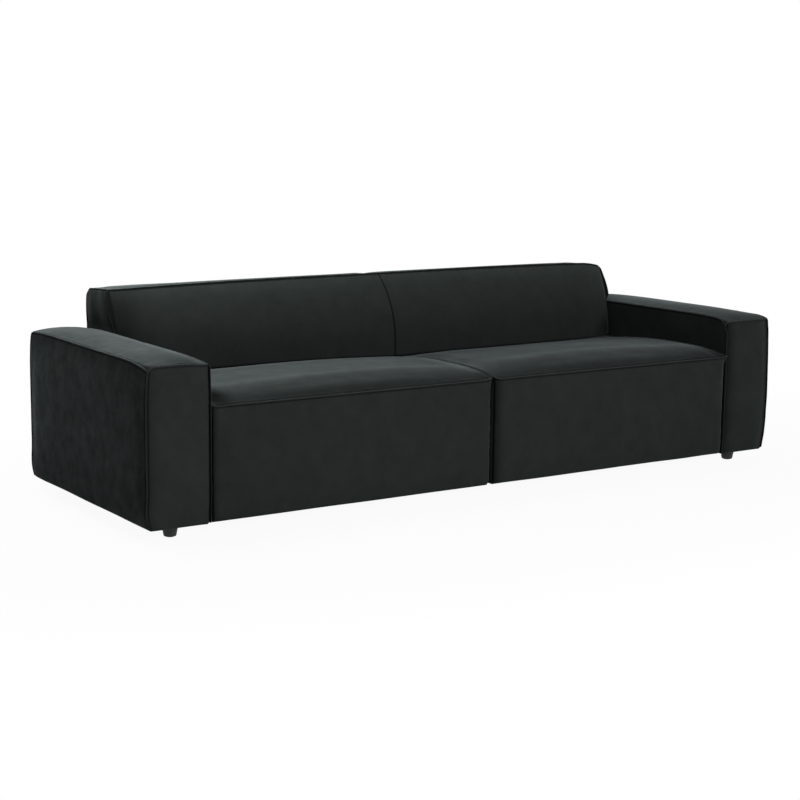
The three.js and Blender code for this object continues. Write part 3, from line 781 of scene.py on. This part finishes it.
# Builds one padded cover with its welts. Its chains are the edges that each welt follows. The sides of a
# piece can have second names: outer, inner or split.
def makeCover(name, values, form, room, looks):
    flat, points, ids, faces, box = form(partial(linesThrough, fineLines))[1]
    sides = fromSides(flat, box)
    sides.update({word: sides[side] for word, side in looks["words"].items()})
    edges = sum(looks["chains"], []) + looks.get("plain", [])
    points = points + clothMoves(form, flat, partial(room, edges))
    normals = pointNormals(points, faces)
    skin, mark = sewn(flat, points, faces, sides, edges, values["line"], looks["seed"])
    if "middleSeam" in looks:
        mark = np.maximum(mark, looks["middleSeam"](flat, sides))
    cover = makeMesh(f"{name}_cover_velvet", skin, faces, [velvetCloth, liningCloth])
    # painted shade along the seam creases
    setMark(cover, "crease", mark)
    # patches of painted light and shade
    setMark(cover, "nap", lightAndShadePatches(sides, values["nap"]))
    setMark(cover, "bruise", np.where(sides.get("outer", sides["top"]) < tiny, *looks["bruise"]))
    hollow(cover, looks["cutters"])
    declare(cover, f"{name}_cover")
    chains = [chained(chain, points, normals, ids) for chain in looks["chains"]]
    declare(makeWelts(f"{name}_welts", chains), None)
    print("cover made:", name, len(cover.data.polygons), "faces")


# The side of an arm or a seat that faces away from the sofa's middle, and the side that faces it.
def outerInner(side):
    return ("left", "right") if side < 0 else ("right", "left")


# The values of one side. Those that differ are given as {-1: the left one's, 1: the right one's}.
def ofSide(values, side):
    return {key: value[side] if isinstance(value, dict) and side in value else value
            for key, value in values.items()}


# A rounded box of lattice points, with their distances from its sides and their shares of the way
# across, along and up.
def latticeBox(box, lines, edge):
    flat, ids, faces = latticeSkin(*lines)
    shares = [shareOf(flat[:, axis], *box[axis]) for axis in range(3)]
    return flat, ids, faces, rounded(flat, box, edge), fromSides(flat, box), shares


# The box of an arm or a seat, between two distances from the sofa's middle.
def sideBox(side, near, far, values):
    low, high = sorted((side * near, side * far))
    return (low, high), (values["frontY"], values["rearY"]), (values["bottom"], values["seamHeight"])


# Arms.
arm = {
    "seamHeight": 548 * mm,
    "seamRise": 13 * mm,
    "topCrown": 16 * mm,
    "sideCrown": 14 * mm,
    "endCrown": 8 * mm,
    "frontShare": {-1: 0.5, 1: 0.05},
    "rearShare": 0.65,
    "edgeShare": 0.8,
    "rearEdgeShare": 0.35,
    "edge": {"side": 8 * mm, "rear": 8 * mm, "top": 8 * mm, "lower": 9 * mm, "tuck": 1.5 * mm},
    "outerCorner": {-1: (5 * mm, 20 * mm, 12 * mm), 1: (4 * mm, 10 * mm, 5 * mm)},
    "innerCorner": {-1: (6 * mm, 14 * mm, 12 * mm), 1: (6 * mm, 38 * mm, 45 * mm)},
    "shoulder": {-1: 7 * mm, 1: -2 * mm},  # how far the outer seam falls towards the front
    "shoulderReach": (120 * mm, 7 * mm),
    "frontFall": {-1: 0, 1: 5 * mm},
    "fallReach": 30 * mm,
    "squareness": {-1: 8, 1: 2},  # how straight the front's top seam runs out to the outer corner
    "squareReach": 80 * mm,
    "flare": {-1: 0, 1: 8 * mm},  # how far the outer top edge stands out at the front
    "flareReach": 90 * mm,
    "topPower": {-1: 5, 1: 11},
    "ear": {-1: 4 * mm, 1: 0},
    "bulges": {-1: [(90 * mm, 45 * mm, 4 * mm)],
               1: [(480 * mm, 60 * mm, -2 * mm), (270 * mm, 90 * mm, 3 * mm), (60 * mm, 50 * mm, -6 * mm)]},
    "line": (5 * mm, 3 * mm),
    # how dark the painted crease shade is on each side of the front's upright welts, with the welts' painted
    # light
    "outerLine": {-1: (0.4, 0.8), 1: (1, 0.5, {"nap": -0.9})},
    "innerLine": {-1: (0.1, 1.3, {"proud": 2 * mm, "nap": -0.1}),
                  1: (0.5, 0.3, {"proud": 0.5 * mm, "nap": -0.3})},
    "sag": {-1: (1 * mm, 8 * mm), 1: (7 * mm, -2 * mm)},  # how much higher its front and rear are
    # patches of painted light and shade, lighter and darker where light and shade fall
    "nap": {
        -1: [("front", {}, 0.12), ("front", {"outer": (0, 0.025)}, -0.3),
             ("inner", {"bottom": (0.3, 0.12)}, -0.25),
             ("outer", {"top": (0, 0.05)}, -0.3), ("outer", {"bottom": (0.03, 0.09)}, -0.3),
             ("top", {"inner": (0.06, 0.05)}, -0.28), ("top", {"rear": (0, 0.12)}, -0.15),
             ("top", {"outer": (0.05, 0.05), "rear": (0.75, 0.3)}, 0.2)],
        1: [("front", {"inner": (0, 0.032)}, -0.5), ("front", {"outer": (0, 0.04)}, 0.2),
            ("front", {"outer": (0.024, 0.006)}, 0.2), ("front", {"outer": (0.003, 0.011)}, -1.2),
            ("outer", {"front": (0, 0.03)}, -0.95),
            ("inner", {}, -0.25), ("inner", {"front": (0.05, 0.08)}, -0.15),
            ("top", {}, 0.15), ("top", {"rear": (0.42, 0.28)}, 0.35)],
    },
    "innerX": 1.09,
    "outerX": 1.3,
    "frontY": -0.47,
    "rearY": 0.47,
    "bottom": 41 * mm,
    "seatTop": 0.45,  # a seat presses on the inner side below this height
    "backFront": 0.15,  # and the back behind this place
    "fill": 0.85,
}


def armForm(side, makeLines):
    own = ofSide(arm, side)
    outer, inner = outerInner(side)
    box = sideBox(side, own["innerX"], own["outerX"], own)
    lines = [makeLines(low, high) for low, high in box]
    flat, ids, faces, points, sides, (across, along, up) = latticeBox(box, lines, own["edge"])
    points = cornered(points, flat, box, [((outer, "front", "top"), own["outerCorner"]),
                                          ((inner, "front", "top"), own["innerCorner"])])
    middle = crown(along, 5)
    endShare = own["frontShare"] + (own["rearShare"] - own["frontShare"]) * along
    outward = np.maximum(0, side * points[:, 0] - own["innerX"]) / (own["outerX"] - own["innerX"])
    endward = shareOf(np.abs(points[:, 1]), own["rearY"] - own["edge"]["side"], own["rearY"])
    topFade = np.where(up == 1, 1, up ** 6)
    frontLift, rearLift = own["sag"]
    points[:, 2] += (own["seamRise"] * middle + frontLift * (1 - along) ** 3 + rearLift * along ** 3) * up
    outerHalf = sides[outer] < sides[inner]
    power = 2 + own["squareness"] * outerHalf * clipped(1 - sides["front"] / own["squareReach"]) ** 2
    points[:, 2] += own["topCrown"] * crown(across, power) * (endShare + (1 - endShare) * middle) * topFade
    reach, width = own["shoulderReach"]
    fall = own["shoulder"] * clipped(1 - sides["front"] / reach) ** 1.2 * bell(sides[outer], width)
    fall += own["frontFall"] * bell(sides["front"], own["fallReach"])
    ear = own["ear"] * bell(sides[inner] + sides["front"] + sides["top"], seams["earReach"])
    points[:, 2] += (ear - fall) * up
    edgeShare = own["edgeShare"] - (own["edgeShare"] - own["rearEdgeShare"]) * along
    sideCrown = own["sideCrown"] * (edgeShare + (1 - edgeShare) * middle)
    for height, width, out in own["bulges"]:
        sideCrown = sideCrown + out * bell(flat[:, 2] - height, width)
    flare = own["flare"] * bell(sides["front"], own["flareReach"]) * up ** 6
    sideCrown = np.maximum(sideCrown * crown(up, np.where(up < 0.5, 9, own["topPower"])), flare)
    points[:, 0] += side * sideCrown * outward
    points[:, 1] += np.sign(flat[:, 1]) * own["endCrown"] * crown(up, 5) * endward
    return lines, (flat, points, ids, faces, box)


def armRoom(side, edges, flat, box):
    onInner = fromSides(flat, box)[outerInner(side)[1]] < tiny
    touched = onInner & ((flat[:, 2] < arm["seatTop"]) | (flat[:, 1] > arm["backFront"]))
    return np.where(touched, 0, seamRoom(edges, flat, box))


def makeArm(side, word):
    own = ofSide(arm, side)
    outer, inner = outerInner(side)
    bolts = [f"arm_bolt_front_{word}", f"arm_bolt_rear_{word}", f"back_bolt_{word}"]
    makeCover(f"arm_{word}", own, partial(armForm, side), partial(armRoom, side), {
        "words": {"outer": outer, "inner": inner},
        "bruise": (0.6, 0.15),
        # the numbers given with some welts make them lighter or darker: painted light and shade
        "chains": [
            [(outer, "front", *own["outerLine"]), (outer, "top", 0.8, 0), (outer, "rear", 1, 1)],
            [(inner, "front", *own["innerLine"]), (inner, "top", 1, 0.2), (inner, "rear", 1, 1)],
            [("front", "top", 0.45, 0, {"nap": 0.5})],
            [("rear", "top", 0.75, 0.2)],
        ],
        "cutters": [pocketCutter(f"arm_{word}_top_foam"), *map(boltCutter, bolts)],
        "seed": 20 + side,
    })


# Seats.
seat = {
    "seamHeight": 418 * mm,
    "splitX": 3 * mm,
    "armX": 1.088,
    "frontY": -0.474,
    "rearY": 0.235,
    "bottom": 45 * mm,
    "armRise": 25 * mm,
    "splitRise": 27 * mm,
    "risePower": 2.4,
    "middleCrown": 14.5 * mm,
    "rearSink": {-1: 0.5, 1: 1.1},  # how much of the crown is gone where the back rests
    "rearDip": (6 * mm, 0.2),  # how far the seats fall where they meet under the back, and how wide
    "crownReach": 640 * mm,
    "skew": 0.716,
    "frontCrown": 4 * mm,
    "edge": {"side": 8 * mm, "rear": 8 * mm, "top": 8 * mm, "lower": 16 * mm, "tuck": 5 * mm},
    "cornerLift": 5 * mm,
    # how far the ears stand out and forward
    "splitEar": {-1: (3 * mm, 2 * mm), 1: (0, 2 * mm)},
    "outerEar": {-1: (0, 2 * mm), 1: (9 * mm, 8 * mm)},
    "meet": (2.9 * mm, (0.012, 0.05)),  # how far the seats bulge towards each other behind their fronts
    # how the left seat's upright edge draws back below its ear
    "splitDraw": {"depth": 1.5 * mm, "frontReach": 60 * mm, "splitReach": 25 * mm,
                  "below": (3 * mm, 35 * mm)},
    "cornerDip": {"depth": 5 * mm, "outer": (26 * mm, 20 * mm), "front": (34 * mm, 30 * mm)},
    "fold": {"depth": 2.5 * mm, "place": 20 * mm, "lean": 0.06, "width": 9 * mm, "grows": (4 * mm, 25 * mm),
             "ends": (0.05, 0.26)},
    "splitRound": {-1: 9 * mm, 1: 30 * mm},
    "outerRound": {-1: 8 * mm, 1: 13 * mm},
    "roundBelow": 30 * mm,
    "splitCorner": (60 * mm, 26 * mm, 8 * mm),
    "line": (4.5 * mm, 3.5 * mm),
    # how dark the painted shade in the creases down the front is
    "uprights": {-1: {"split": 0, "outer": 0.6}, 1: {"split": 0.1, "outer": 0}},
    # patches of painted light and shade, lighter and darker where light and shade fall
    "nap": {
        -1: [("top", {"front": (0, 0.045)}, -0.2), ("top", {"front": (0.135, 0.055)}, 0.4),
             ("top", {"rear": (0.25, 0.12)}, -0.32),
             ("top", {"split": (0.1, 0.1), "front": (0.2, 0.12)}, -0.13),
             ("top", {"front": (0.1, 0.065), "outer": (0.05, 0.045)}, -0.95),
             ("front", {"outer": (0, 0.016)}, -0.6), ("front", {"split": (0.003, 0.005)}, 0.5)],
        1: [("top", {"front": (0, 0.045)}, -0.2), ("top", {"front": (0.145, 0.055)}, 0.38),
            ("top", {"outer": (0.1, 0.13)}, -0.2), ("top", {"rear": (0.25, 0.12)}, -0.38),
            ("top", {"front": (0.26, 0.11), "split": (0.02, 0.07)}, 0.3),
            ("front", {"split": (0, 0.03)}, -0.6), ("front", {"outer": (0.012, 0.01)}, 0.25),
            ("split", {}, -0.5)],
    },
    "fill": 0.8,
}


def seatSwell(x, y):
    across = shareOf(np.abs(x), seat["splitX"], seat["armX"])
    front = arm["frontY"]
    reach = shareOf(y, front, front + seat["crownReach"])
    edgeRise = seat["splitRise"] + (seat["armRise"] - seat["splitRise"]) * across
    rise = edgeRise * crown(reach ** seat["skew"], seat["risePower"])
    along = shareOf(y, front, seat["rearY"])
    sink = np.where(x < 0, seat["rearSink"][-1], seat["rearSink"][1]) * shareOf(y, -0.25, 0.1) ** 1.5
    depth, width = seat["rearDip"]
    rise = rise - depth * bell(x, width) * shareOf(y, -0.1, 0.14)
    return rise + seat["middleCrown"] * crown(along, 8) * crown(across, 2) * (1 - sink)


def seatForm(side, makeLines):
    own = ofSide(seat, side)
    outer, split = outerInner(side)
    box = sideBox(side, own["splitX"], own["armX"], own)
    lines = [makeLines(low, high) for low, high in box]
    flat, ids, faces, points, sides, (across, _, up) = latticeBox(box, lines, own["edge"])
    # the upright front edges are rounder below their corners
    low = shareOf(sides["top"], 0, own["roundBelow"])
    for end, radius, place, way in ((split, own["splitRound"], own["splitX"], 1),
                                    (outer, own["outerRound"], own["armX"], -1)):
        near = np.stack([clipped(1 - sides[end] / radius), clipped(1 - sides["front"] / radius)])
        shrink = 1 + (1 / np.maximum(1, np.hypot(*near)) - 1) * low
        centre = np.array([side * (place + way * radius), own["frontY"] + radius])
        inside = (near > 0).all(0)
        points[inside, :2] = centre + (points[inside, :2] - centre) * shrink[inside, None]
    if side > 0:
        points = cornered(points, flat, box, [((split, "front", "top"), own["splitCorner"])])
    else:
        draw = own["splitDraw"]
        drawn = bell(sides["front"], draw["frontReach"]) * bell(sides[split], draw["splitReach"])
        points[:, 0] -= draw["depth"] * drawn * shareOf(sides["top"], *draw["below"])
    bulge, grows = own["meet"]
    meeting = shareOf(sides["front"], *grows) * crown(up, 6) * (sides[split] < tiny)
    points[:, 0] -= side * bulge * meeting
    points[:, 2] += seatSwell(flat[:, 0], flat[:, 1]) * up
    frontward = bell(sides["front"], 6 * mm)
    points[:, 1] -= own["frontCrown"] * crown(across, 5) * crown(up, 5) * frontward
    # sewn corners stand out as small ears, and the top dips just inside the one by the arm
    for end, way, (out, forward) in ((split, -side, own["splitEar"]), (outer, side, own["outerEar"])):
        ear = bell(sides[end] + sides["front"] + sides["top"], seams["earReach"])
        points += ear[:, None] * np.array([way * out, -forward, own["cornerLift"]])
    dip = own["cornerDip"]
    dipped = np.where(sides["top"] < tiny, dip["depth"], 0)
    for end, name in ((outer, "outer"), ("front", "front")):
        place, reach = dip[name]
        dipped = dipped * bell(sides[end] - place, reach)
    points[:, 2] -= dipped
    # a soft fold hangs from the ear by the arm
    fold = own["fold"]
    lean = fold["place"] + fold["lean"] * sides["top"]
    folded = bell(sides[outer] - lean, fold["width"]) * shareOf(sides["top"], *fold["grows"])
    folded *= 1 - shareOf(sides["top"], *fold["ends"])
    points[:, 1] -= fold["depth"] * folded * (sides["front"] < tiny)
    return lines, (flat, points, ids, faces, box)


def seatRoom(edges, flat, box):
    sides = fromSides(flat, box)
    touched = (sides["left"] < tiny) | (sides["right"] < tiny) | (sides["rear"] < tiny)
    under = shareOf(flat[:, 1], back["overY"] - 30 * mm, back["overY"])
    return np.where(touched, 0, seamRoom(edges, flat, box) * (1 - under))


def makeSeat(side, word):
    own = ofSide(seat, side)
    outer, split = outerInner(side)
    words = {"split": split, "outer": outer}
    bolts = [f"arm_bolt_front_{word}", f"arm_bolt_rear_{word}", "seat_bolt_front", "seat_bolt_rear"]
    makeCover(f"seat_{word}", own, partial(seatForm, side), seatRoom, {
        "words": words,
        "bruise": (0.1, 0.1),
        # the numbers given with some welts make them lighter or darker: painted light and shade
        "chains": [[("left", "top", 1, 0.15), ("front", "top", 0.8, 0, {"nap": 0.5}),
                    ("right", "top", 1, 0.15)]],
        "plain": [("rear", "top", 1, 1),
                  *[(words[end], "front", 1, onFront) for end, onFront in own["uprights"].items()]],
        "cutters": [pocketCutter(f"seat_{word}_foam"), *map(boltCutter, bolts)],
        "seed": 40 + side,
    })


# Back.
back = {
    "halfWidth": 1.0897,
    "frontY": 0.239,
    "rearY": 0.47,
    "bottom": 45 * mm,
    "seamHeight": 703 * mm,
    "endOverhang": 21 * mm,
    "middleOverhang": 96 * mm,
    "topSetback": 45 * mm,
    "topForward": 10 * mm,  # how much further forward the top seam runs in the middle
    "lip": 20 * mm,
    "restGap": 4 * mm,
    "frontRise": (7 * mm, 9 * mm, 10 * mm),  # left end, arch, right end
    "rearRise": (-2.5 * mm, -1.5 * mm, -10 * mm),
    "rightFall": (110 * mm, 14 * mm),  # where the top begins to fall towards its right end, and how far
    "endRound": {"left": (60 * mm, 16 * mm), "right": (20 * mm, 5 * mm)},  # how far the front turns back
    "endCrown": (12 * mm, 16.5 * mm),
    "endReach": 70 * mm,
    "line": (4 * mm, 3 * mm),
    "rearCrown": 8 * mm,
    "endPower": 2,
    "middlePower": 2.9,
    "spread": 4,
    "seamDraw": 5 * mm,
    "seamWidth": 3.5 * mm,
    "seamDish": 4 * mm,
    "seamDishWidth": 22 * mm,
    "edge": {"side": 8 * mm, "rear": 20 * mm, "top": 8 * mm, "lower": 16 * mm, "tuck": 5 * mm},
    "footEdge": 7 * mm,
    "topCorner": {"left": (12 * mm, 16 * mm, 10 * mm), "right": (14 * mm, 12 * mm, 10 * mm)},
    "rearCorner": {"left": (10 * mm, 30 * mm, 26 * mm), "right": (6 * mm, 18 * mm, 12 * mm)},
    # patches of painted light and shade, lighter and darker where light and shade fall
    "nap": [
        ("front", {"top": (0, 0.1)}, 0.3), ("front", {"top": (0, 0.03)}, 0.5),
        ("front", {"top": (0.28, 0.12)}, -0.14), ("front", {"left": (0, 0.09)}, -0.5),
        ("left", {"front": (0.07, 0.03)}, 0.35),
        ("front", {"right": (0.03, 0.05), "top": (0.05, 0.09)}, 0.25),
        ("front", {"right": (0, 0.06), "top": (0.24, 0.05)}, -0.45),
        ("left", {"front": (0, 0.06), "top": (0.03, 0.06)}, -0.3),
    ],
    "overY": 0.139,  # where the back's foot comes furthest forward over the seats
    "wall": 20 * mm,
    "foamStraight": 65 * mm,
    "foamStep": 15 * mm,
    "endsFrom": 0.59,  # its ends are free of the arms above this height
    "freeFrom": 0.05,  # and the cloth is loose this far above the seats
    "endRoom": 0.4,
    "seamRoom": 30 * mm,
    "middleMark": (3.4 * mm, 0.9),
    "fill": 0.75,
}


def backForm(makeLines):
    half, lip = back["halfWidth"], back["lip"]
    low, high = seat["seamHeight"] - lip, seat["seamHeight"] + lip
    box = ((-half, half), (back["frontY"], back["rearY"]), (back["bottom"], back["seamHeight"]))
    zLines = np.concatenate([makeLines(back["bottom"], low), makeLines(high, back["seamHeight"])])
    lines = [makeLines(-half, half, (0,)), makeLines(*box[1]), zLines]
    flat, ids, faces, points, sides, (across, along, height) = latticeBox(box, lines, back["edge"])
    x, _, z = flat.T
    points = cornered(points, flat, box, [
        ((end, place, "top"), back[corner][end])
        for place, corner in (("front", "topCorner"), ("rear", "rearCorner")) for end in ("left", "right")])
    depthShare = 1 - along
    over = z > low + tiny
    up = shareOf(points[:, 2], high, back["seamHeight"])
    spread = 1 - (np.abs(x) / half) ** back["spread"]
    foot = seat["rearY"] - back["endOverhang"] - (back["middleOverhang"] - back["endOverhang"]) * spread
    power = back["endPower"] + (back["middlePower"] - back["endPower"]) * spread
    top = seat["rearY"] + back["topSetback"] - back["topForward"] * spread
    drawn = back["seamDraw"] * bell(x, back["seamWidth"])
    drawn += back["seamDish"] * bell(x, back["seamDishWidth"]) * (1 - up)
    rise = clipped((z - high) / back["footEdge"])
    footRound = back["footEdge"] * (1 - np.sqrt(1 - (1 - rise) ** 2))
    turned = np.zeros(len(flat))
    for end, (width, depth) in back["endRound"].items():
        turned += depth * clipped(1 - sides[end] / width) ** 2.2 * (0.2 + 0.8 * up)
    target = np.where(over, foot + (top - foot) * up ** power + drawn + footRound + turned, box[1][0])
    stretch = (back["rearY"] - target) / (back["rearY"] - back["frontY"])
    points[:, 1] = back["rearY"] - (back["rearY"] - points[:, 1]) * stretch
    swell = seatSwell(x, np.minimum(points[:, 1], seat["rearY"]))
    rest = seat["seamHeight"] + swell + back["restGap"]
    settle = np.where(over, (rest - high) * (1 - up), 0)
    settle = np.where(np.abs(z - low) < tiny, rest - low, settle)
    points[:, 2] += settle * depthShare
    rises = [left * (1 - across) + right * across + arch * crown(across, 3)
             for left, arch, right in (back["frontRise"], back["rearRise"])]
    points[:, 2] += (rises[0] * depthShare + rises[1] * (1 - depthShare)) * up
    width, depth = back["rightFall"]
    points[:, 2] -= depth * clipped(1 - sides["right"] / width) ** 2 * up
    endward = shareOf(np.abs(x), half - 1 * mm, half)
    armTop = arm["seamHeight"] + arm["seamRise"] + arm["topCrown"]
    share = shareOf(z, armTop, back["seamHeight"])
    bulge = crown(np.where(x < 0, share, share ** 0.45), 2)
    forward = 0.2 + 0.8 * shareOf(sides["rear"], 0, back["endReach"])
    points[:, 0] += np.sign(x) * np.where(x < 0, *back["endCrown"]) * endward * bulge * forward
    rearward = bell(sides["rear"], 4 * mm)
    points[:, 1] += back["rearCrown"] * crown(height, 5) * rearward
    return lines, (flat, points, ids, faces, box)


def backRoom(edges, flat, box):
    room = seamRoom(edges, flat, box) * (1 - bell(flat[:, 0], back["seamRoom"]))
    sides = fromSides(flat, box)
    atEnd = (sides["left"] < tiny) | (sides["right"] < tiny)
    low = np.where(atEnd, back["endsFrom"], seat["seamHeight"] + back["freeFrom"])
    return np.where(flat[:, 2] < low, 0, room * np.where(atEnd, back["endRoom"], 1))


# The line down the middle of the front and over the top, darkened with the painted seam shade.
def middleSeam(flat, sides):
    width, strength = back["middleMark"]
    return strength * bell(flat[:, 0], width) * ((sides["front"] < tiny) | (sides["top"] < tiny))


def backPocket():
    low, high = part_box("back_top_rail")
    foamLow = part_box("back_left_foam")[0]
    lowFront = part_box("back_bottom_rail")[0].y - pocketGap
    rear, top = high.y + pocketGap, high.z + pocketGap
    foamFront, step = foamLow.y - pocketGap, foamLow.z - pocketGap
    topFront = seat["rearY"] + back["topSetback"] + back["wall"]
    outline = [(lowFront, 0), (rear, 0), (rear, top), (topFront, top),
               (foamFront, step + back["foamStraight"]), (foamFront, step),
               (lowFront, step - back["foamStep"])]
    return outlineCutter(outline, low.x - pocketGap, high.x + pocketGap)


def makeBack():
    makeCover("back", back, backForm, backRoom, {
        "words": {},
        "bruise": (0.1, 0.1),
        # the numbers given with some welts make them lighter or darker, and strengths over 1 darken them
        # further round: painted light and shade
        "chains": [
            [("left", "front", 0.3, 0.3, {"nap": -0.3}), ("left", "top", 0.5, 0.1, {"nap": 0}),
             ("left", "rear", 1, 1)],
            [("right", "front", 3, 0.05, {"proud": 1.5 * mm, "nap": 0.1}), ("right", "top", 1, 0.3),
             ("right", "rear", 1, 1)],
            [("front", "top", 0.5, 2.8)],
        ],
        "middleSeam": middleSeam,
        "cutters": [backPocket(), *map(boltCutter, ("back_bolt_left", "back_bolt_right"))],
        "seed": 60,
    })


# Feet: a turned profile with a rounded lower edge, a felt pad underneath and a threaded stud.
foot = {
    "height": 45 * mm,
    "topRadius": 28.5 * mm,
    "bottomRadius": 20.5 * mm,
    "lowerEdge": 4 * mm,
    "padRadius": 15 * mm,
    "padHeight": 1.5 * mm,
    "padEdge": 0.4 * mm,
    "padSides": 32,
    "studRadius": 3.9 * mm,
    "studTop": 71 * mm,
    "threadPitch": 1.25 * mm,
    "threadDepth": 0.55 * mm,
    "sides": 64,
}


def turned(name, profile, centre, sides, material):
    points, faces, rings = [], [], []
    for radius, height in profile:
        if radius == 0:
            rings.append([len(points)] * sides)
            points.append((centre[0], centre[1], height))
        else:
            rings.append(list(range(len(points), len(points) + sides)))
            points += [(centre[0] + radius * math.cos(2 * math.pi * i / sides),
                        centre[1] + radius * math.sin(2 * math.pi * i / sides), height) for i in range(sides)]
    for lower, upper in zip(rings, rings[1:]):
        for i in range(sides):
            quad = [lower[i], lower[(i + 1) % sides], upper[(i + 1) % sides], upper[i]]
            faces.append(list(dict.fromkeys(quad)))
    piece = makeMesh(name, points, faces, [material])
    piece.data.set_sharp_from_angle(angle=math.radians(35))
    return piece


def footProfile():
    top, bottom, height = foot["topRadius"], foot["bottomRadius"], foot["height"]
    pad, edge, stud = foot["padHeight"], foot["lowerEdge"], foot["studRadius"]
    profile = [(0, pad), (bottom - edge, pad)]
    for step in range(1, 7):
        turn = step / 6 * math.pi / 2
        profile.append((bottom - edge + edge * math.sin(turn), pad + (edge - pad) * (1 - math.cos(turn))))
    slope = (top - bottom) / (height - edge)
    for step in range(1, 9):
        rise = (height - 4 * mm - edge) * step / 8
        profile.append((bottom + slope * rise, edge + rise))
    # a narrow neck, then a rounded collar at the top
    neck = profile[-1][0] - 0.5 * mm
    collar = [(neck, 3.6), (neck, 3.0), (top - 0.4 * mm, 2.7), (top, 2.2), (top, 0.6),
              (top - 0.6 * mm, 0), (stud, 0)]
    profile += [(radius, height - below * mm) for radius, below in collar]
    for turn in range(int((foot["studTop"] - height - 3 * mm) / foot["threadPitch"])):
        base = height + 1 * mm + turn * foot["threadPitch"]
        profile += [(stud - foot["threadDepth"], base), (stud, base + foot["threadPitch"] / 2)]
    return [*profile, (stud - 0.8 * mm, foot["studTop"]), (0, foot["studTop"])]


def makeFeet():
    radius, height, edge = foot["padRadius"], foot["padHeight"], foot["padEdge"]
    padProfile = [(0, 0), (radius - edge, 0), (radius, edge), (radius, height), (0, height)]
    for place in ("front", "rear", "centre"):
        for word in ("left", "right"):
            name = f"foot_{place}_{word}"
            low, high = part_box(name)
            centre = (low + high) / 2
            leg = turned(f"{name}_moulded", footProfile(), centre, foot["sides"], blackPlastic)
            declare(leg, name)
            declare(turned(f"{name}_pad", padProfile, centre, foot["padSides"], feltPad), None)
    print("feet made")


# Foam blocks: sawn to the frame's shape, with worn edges.
foam = {"edge": 5 * mm, "steps": 3, "fill": {"arm": 0.95, "seat": 0.95, "back": 0.9}}


def makeFoams():
    for name, node in list(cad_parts.items()):
        if not name.endswith("foam"):
            continue
        shape = bmesh.new()
        shape.from_mesh(node.data)
        bmesh.ops.remove_doubles(shape, verts=shape.verts, dist=tiny)
        bmesh.ops.dissolve_limit(shape, angle_limit=math.radians(2), verts=shape.verts, edges=shape.edges)
        bmesh.ops.bevel(shape, geom=shape.edges, offset=foam["edge"], segments=foam["steps"], profile=0.5,
                        affect="EDGES")
        mesh = bpy.data.meshes.new(f"{name}_block")
        shape.to_mesh(mesh)
        shape.free()
        mesh.materials.clear()
        mesh.materials.append(softFoam)
        mesh.shade_smooth()
        mesh.set_sharp_from_angle(angle=math.radians(40))
        block = placed(f"{name}_block", mesh)
        declare(block, name)
    print("foam blocks made")


makeFoams()
for side, word in ((-1, "left"), (1, "right")):
    makeArm(side, word)
    makeSeat(side, word)
makeBack()
makeFeet()


# Floor, backdrop and lights.
studio = {
    "floorSize": 60,
    "floorWhite": 0.94,  # the part of the floor's white near the sofa that no shadow dims
    "whiteFrom": (0.9, 2.0),  # from where to where it grows to full white, in metres from the middle
    "ambient": 0.01,
    "lamps": {
        "front": {"place": (0, -5, 1.8), "aim": (0, 0, 0.4), "size": (3.0, 2.0), "power": 168},
        "aboveLeft": {"place": (-1.6, 0.2, 2.0), "aim": (-1.2, 0, 0.4), "size": (1.2, 1.2), "power": 23},
        "aboveRight": {"place": (2.2, 0.2, 3.0), "aim": (0.6, 0, 0.4), "size": (2.0, 2.0), "power": 25},
        "rear": {"place": (0, 3.6, 1.6), "aim": (0, 0, 0.5), "size": (4.0, 1.6), "power": 100},
    },
}


def makeFloor():
    size = studio["floorSize"] / 2
    corners = [(-size, -size, 0), (size, -size, 0), (size, size, 0), (-size, size, 0)]
    paint = Paint("studio_floor")
    away = paint.vector("LENGTH", {0: paint.place((0.6, 1, 1))}, "Value")
    near, far = studio["whiteFrom"]
    ends = {"From Min": near, "From Max": far, "To Min": studio["floorWhite"], "To Max": 1.0}
    share = paint.add("ShaderNodeMapRange", {"interpolation_type": "SMOOTHSTEP"}, {"Value": away, **ends})
    white = paint.add("ShaderNodeEmission", None, {"Color": (1, 1, 1, 1), "Strength": 1.0})
    matt = paint.add("ShaderNodeBsdfDiffuse", None, {"Color": (0.9, 0.9, 0.9, 1)})
    both = paint.add("ShaderNodeMixShader", None, {0: paint.seen() * share, 1: matt, 2: white})
    makeMesh("floor", corners, [(0, 1, 2, 3)], [paint.ended(both)], False)


def makeWorld():
    scene.world = bpy.data.worlds.new("studio")
    scene.world.use_nodes = True
    graph = Graph(scene.world.node_tree)
    glow, white = (graph.add("ShaderNodeBackground", None, {"Color": (1, 1, 1, 1), "Strength": strength})
                   for strength in (studio["ambient"], 1.0))
    both = graph.add("ShaderNodeMixShader", None, {0: graph.seen(), 1: glow, 2: white})
    graph.add("ShaderNodeOutputWorld", None, {"Surface": both})


def makeLamps():
    for name, values in studio["lamps"].items():
        light = bpy.data.lights.new(name, "AREA")
        light.shape = "RECTANGLE"
        light.size, light.size_y = values["size"]
        light.energy = values["power"]
        lamp = placed(name, light)
        way = Vector(values["aim"]) - Vector(values["place"])
        turn = way.to_track_quat("-Z", "Y").to_matrix().to_4x4()
        lamp.visible_camera = False
        lamp.matrix_world = Matrix.Translation(values["place"]) @ turn


makeFloor()
makeWorld()
makeLamps()
scene.view_settings.view_transform = "Standard"
print("studio made")
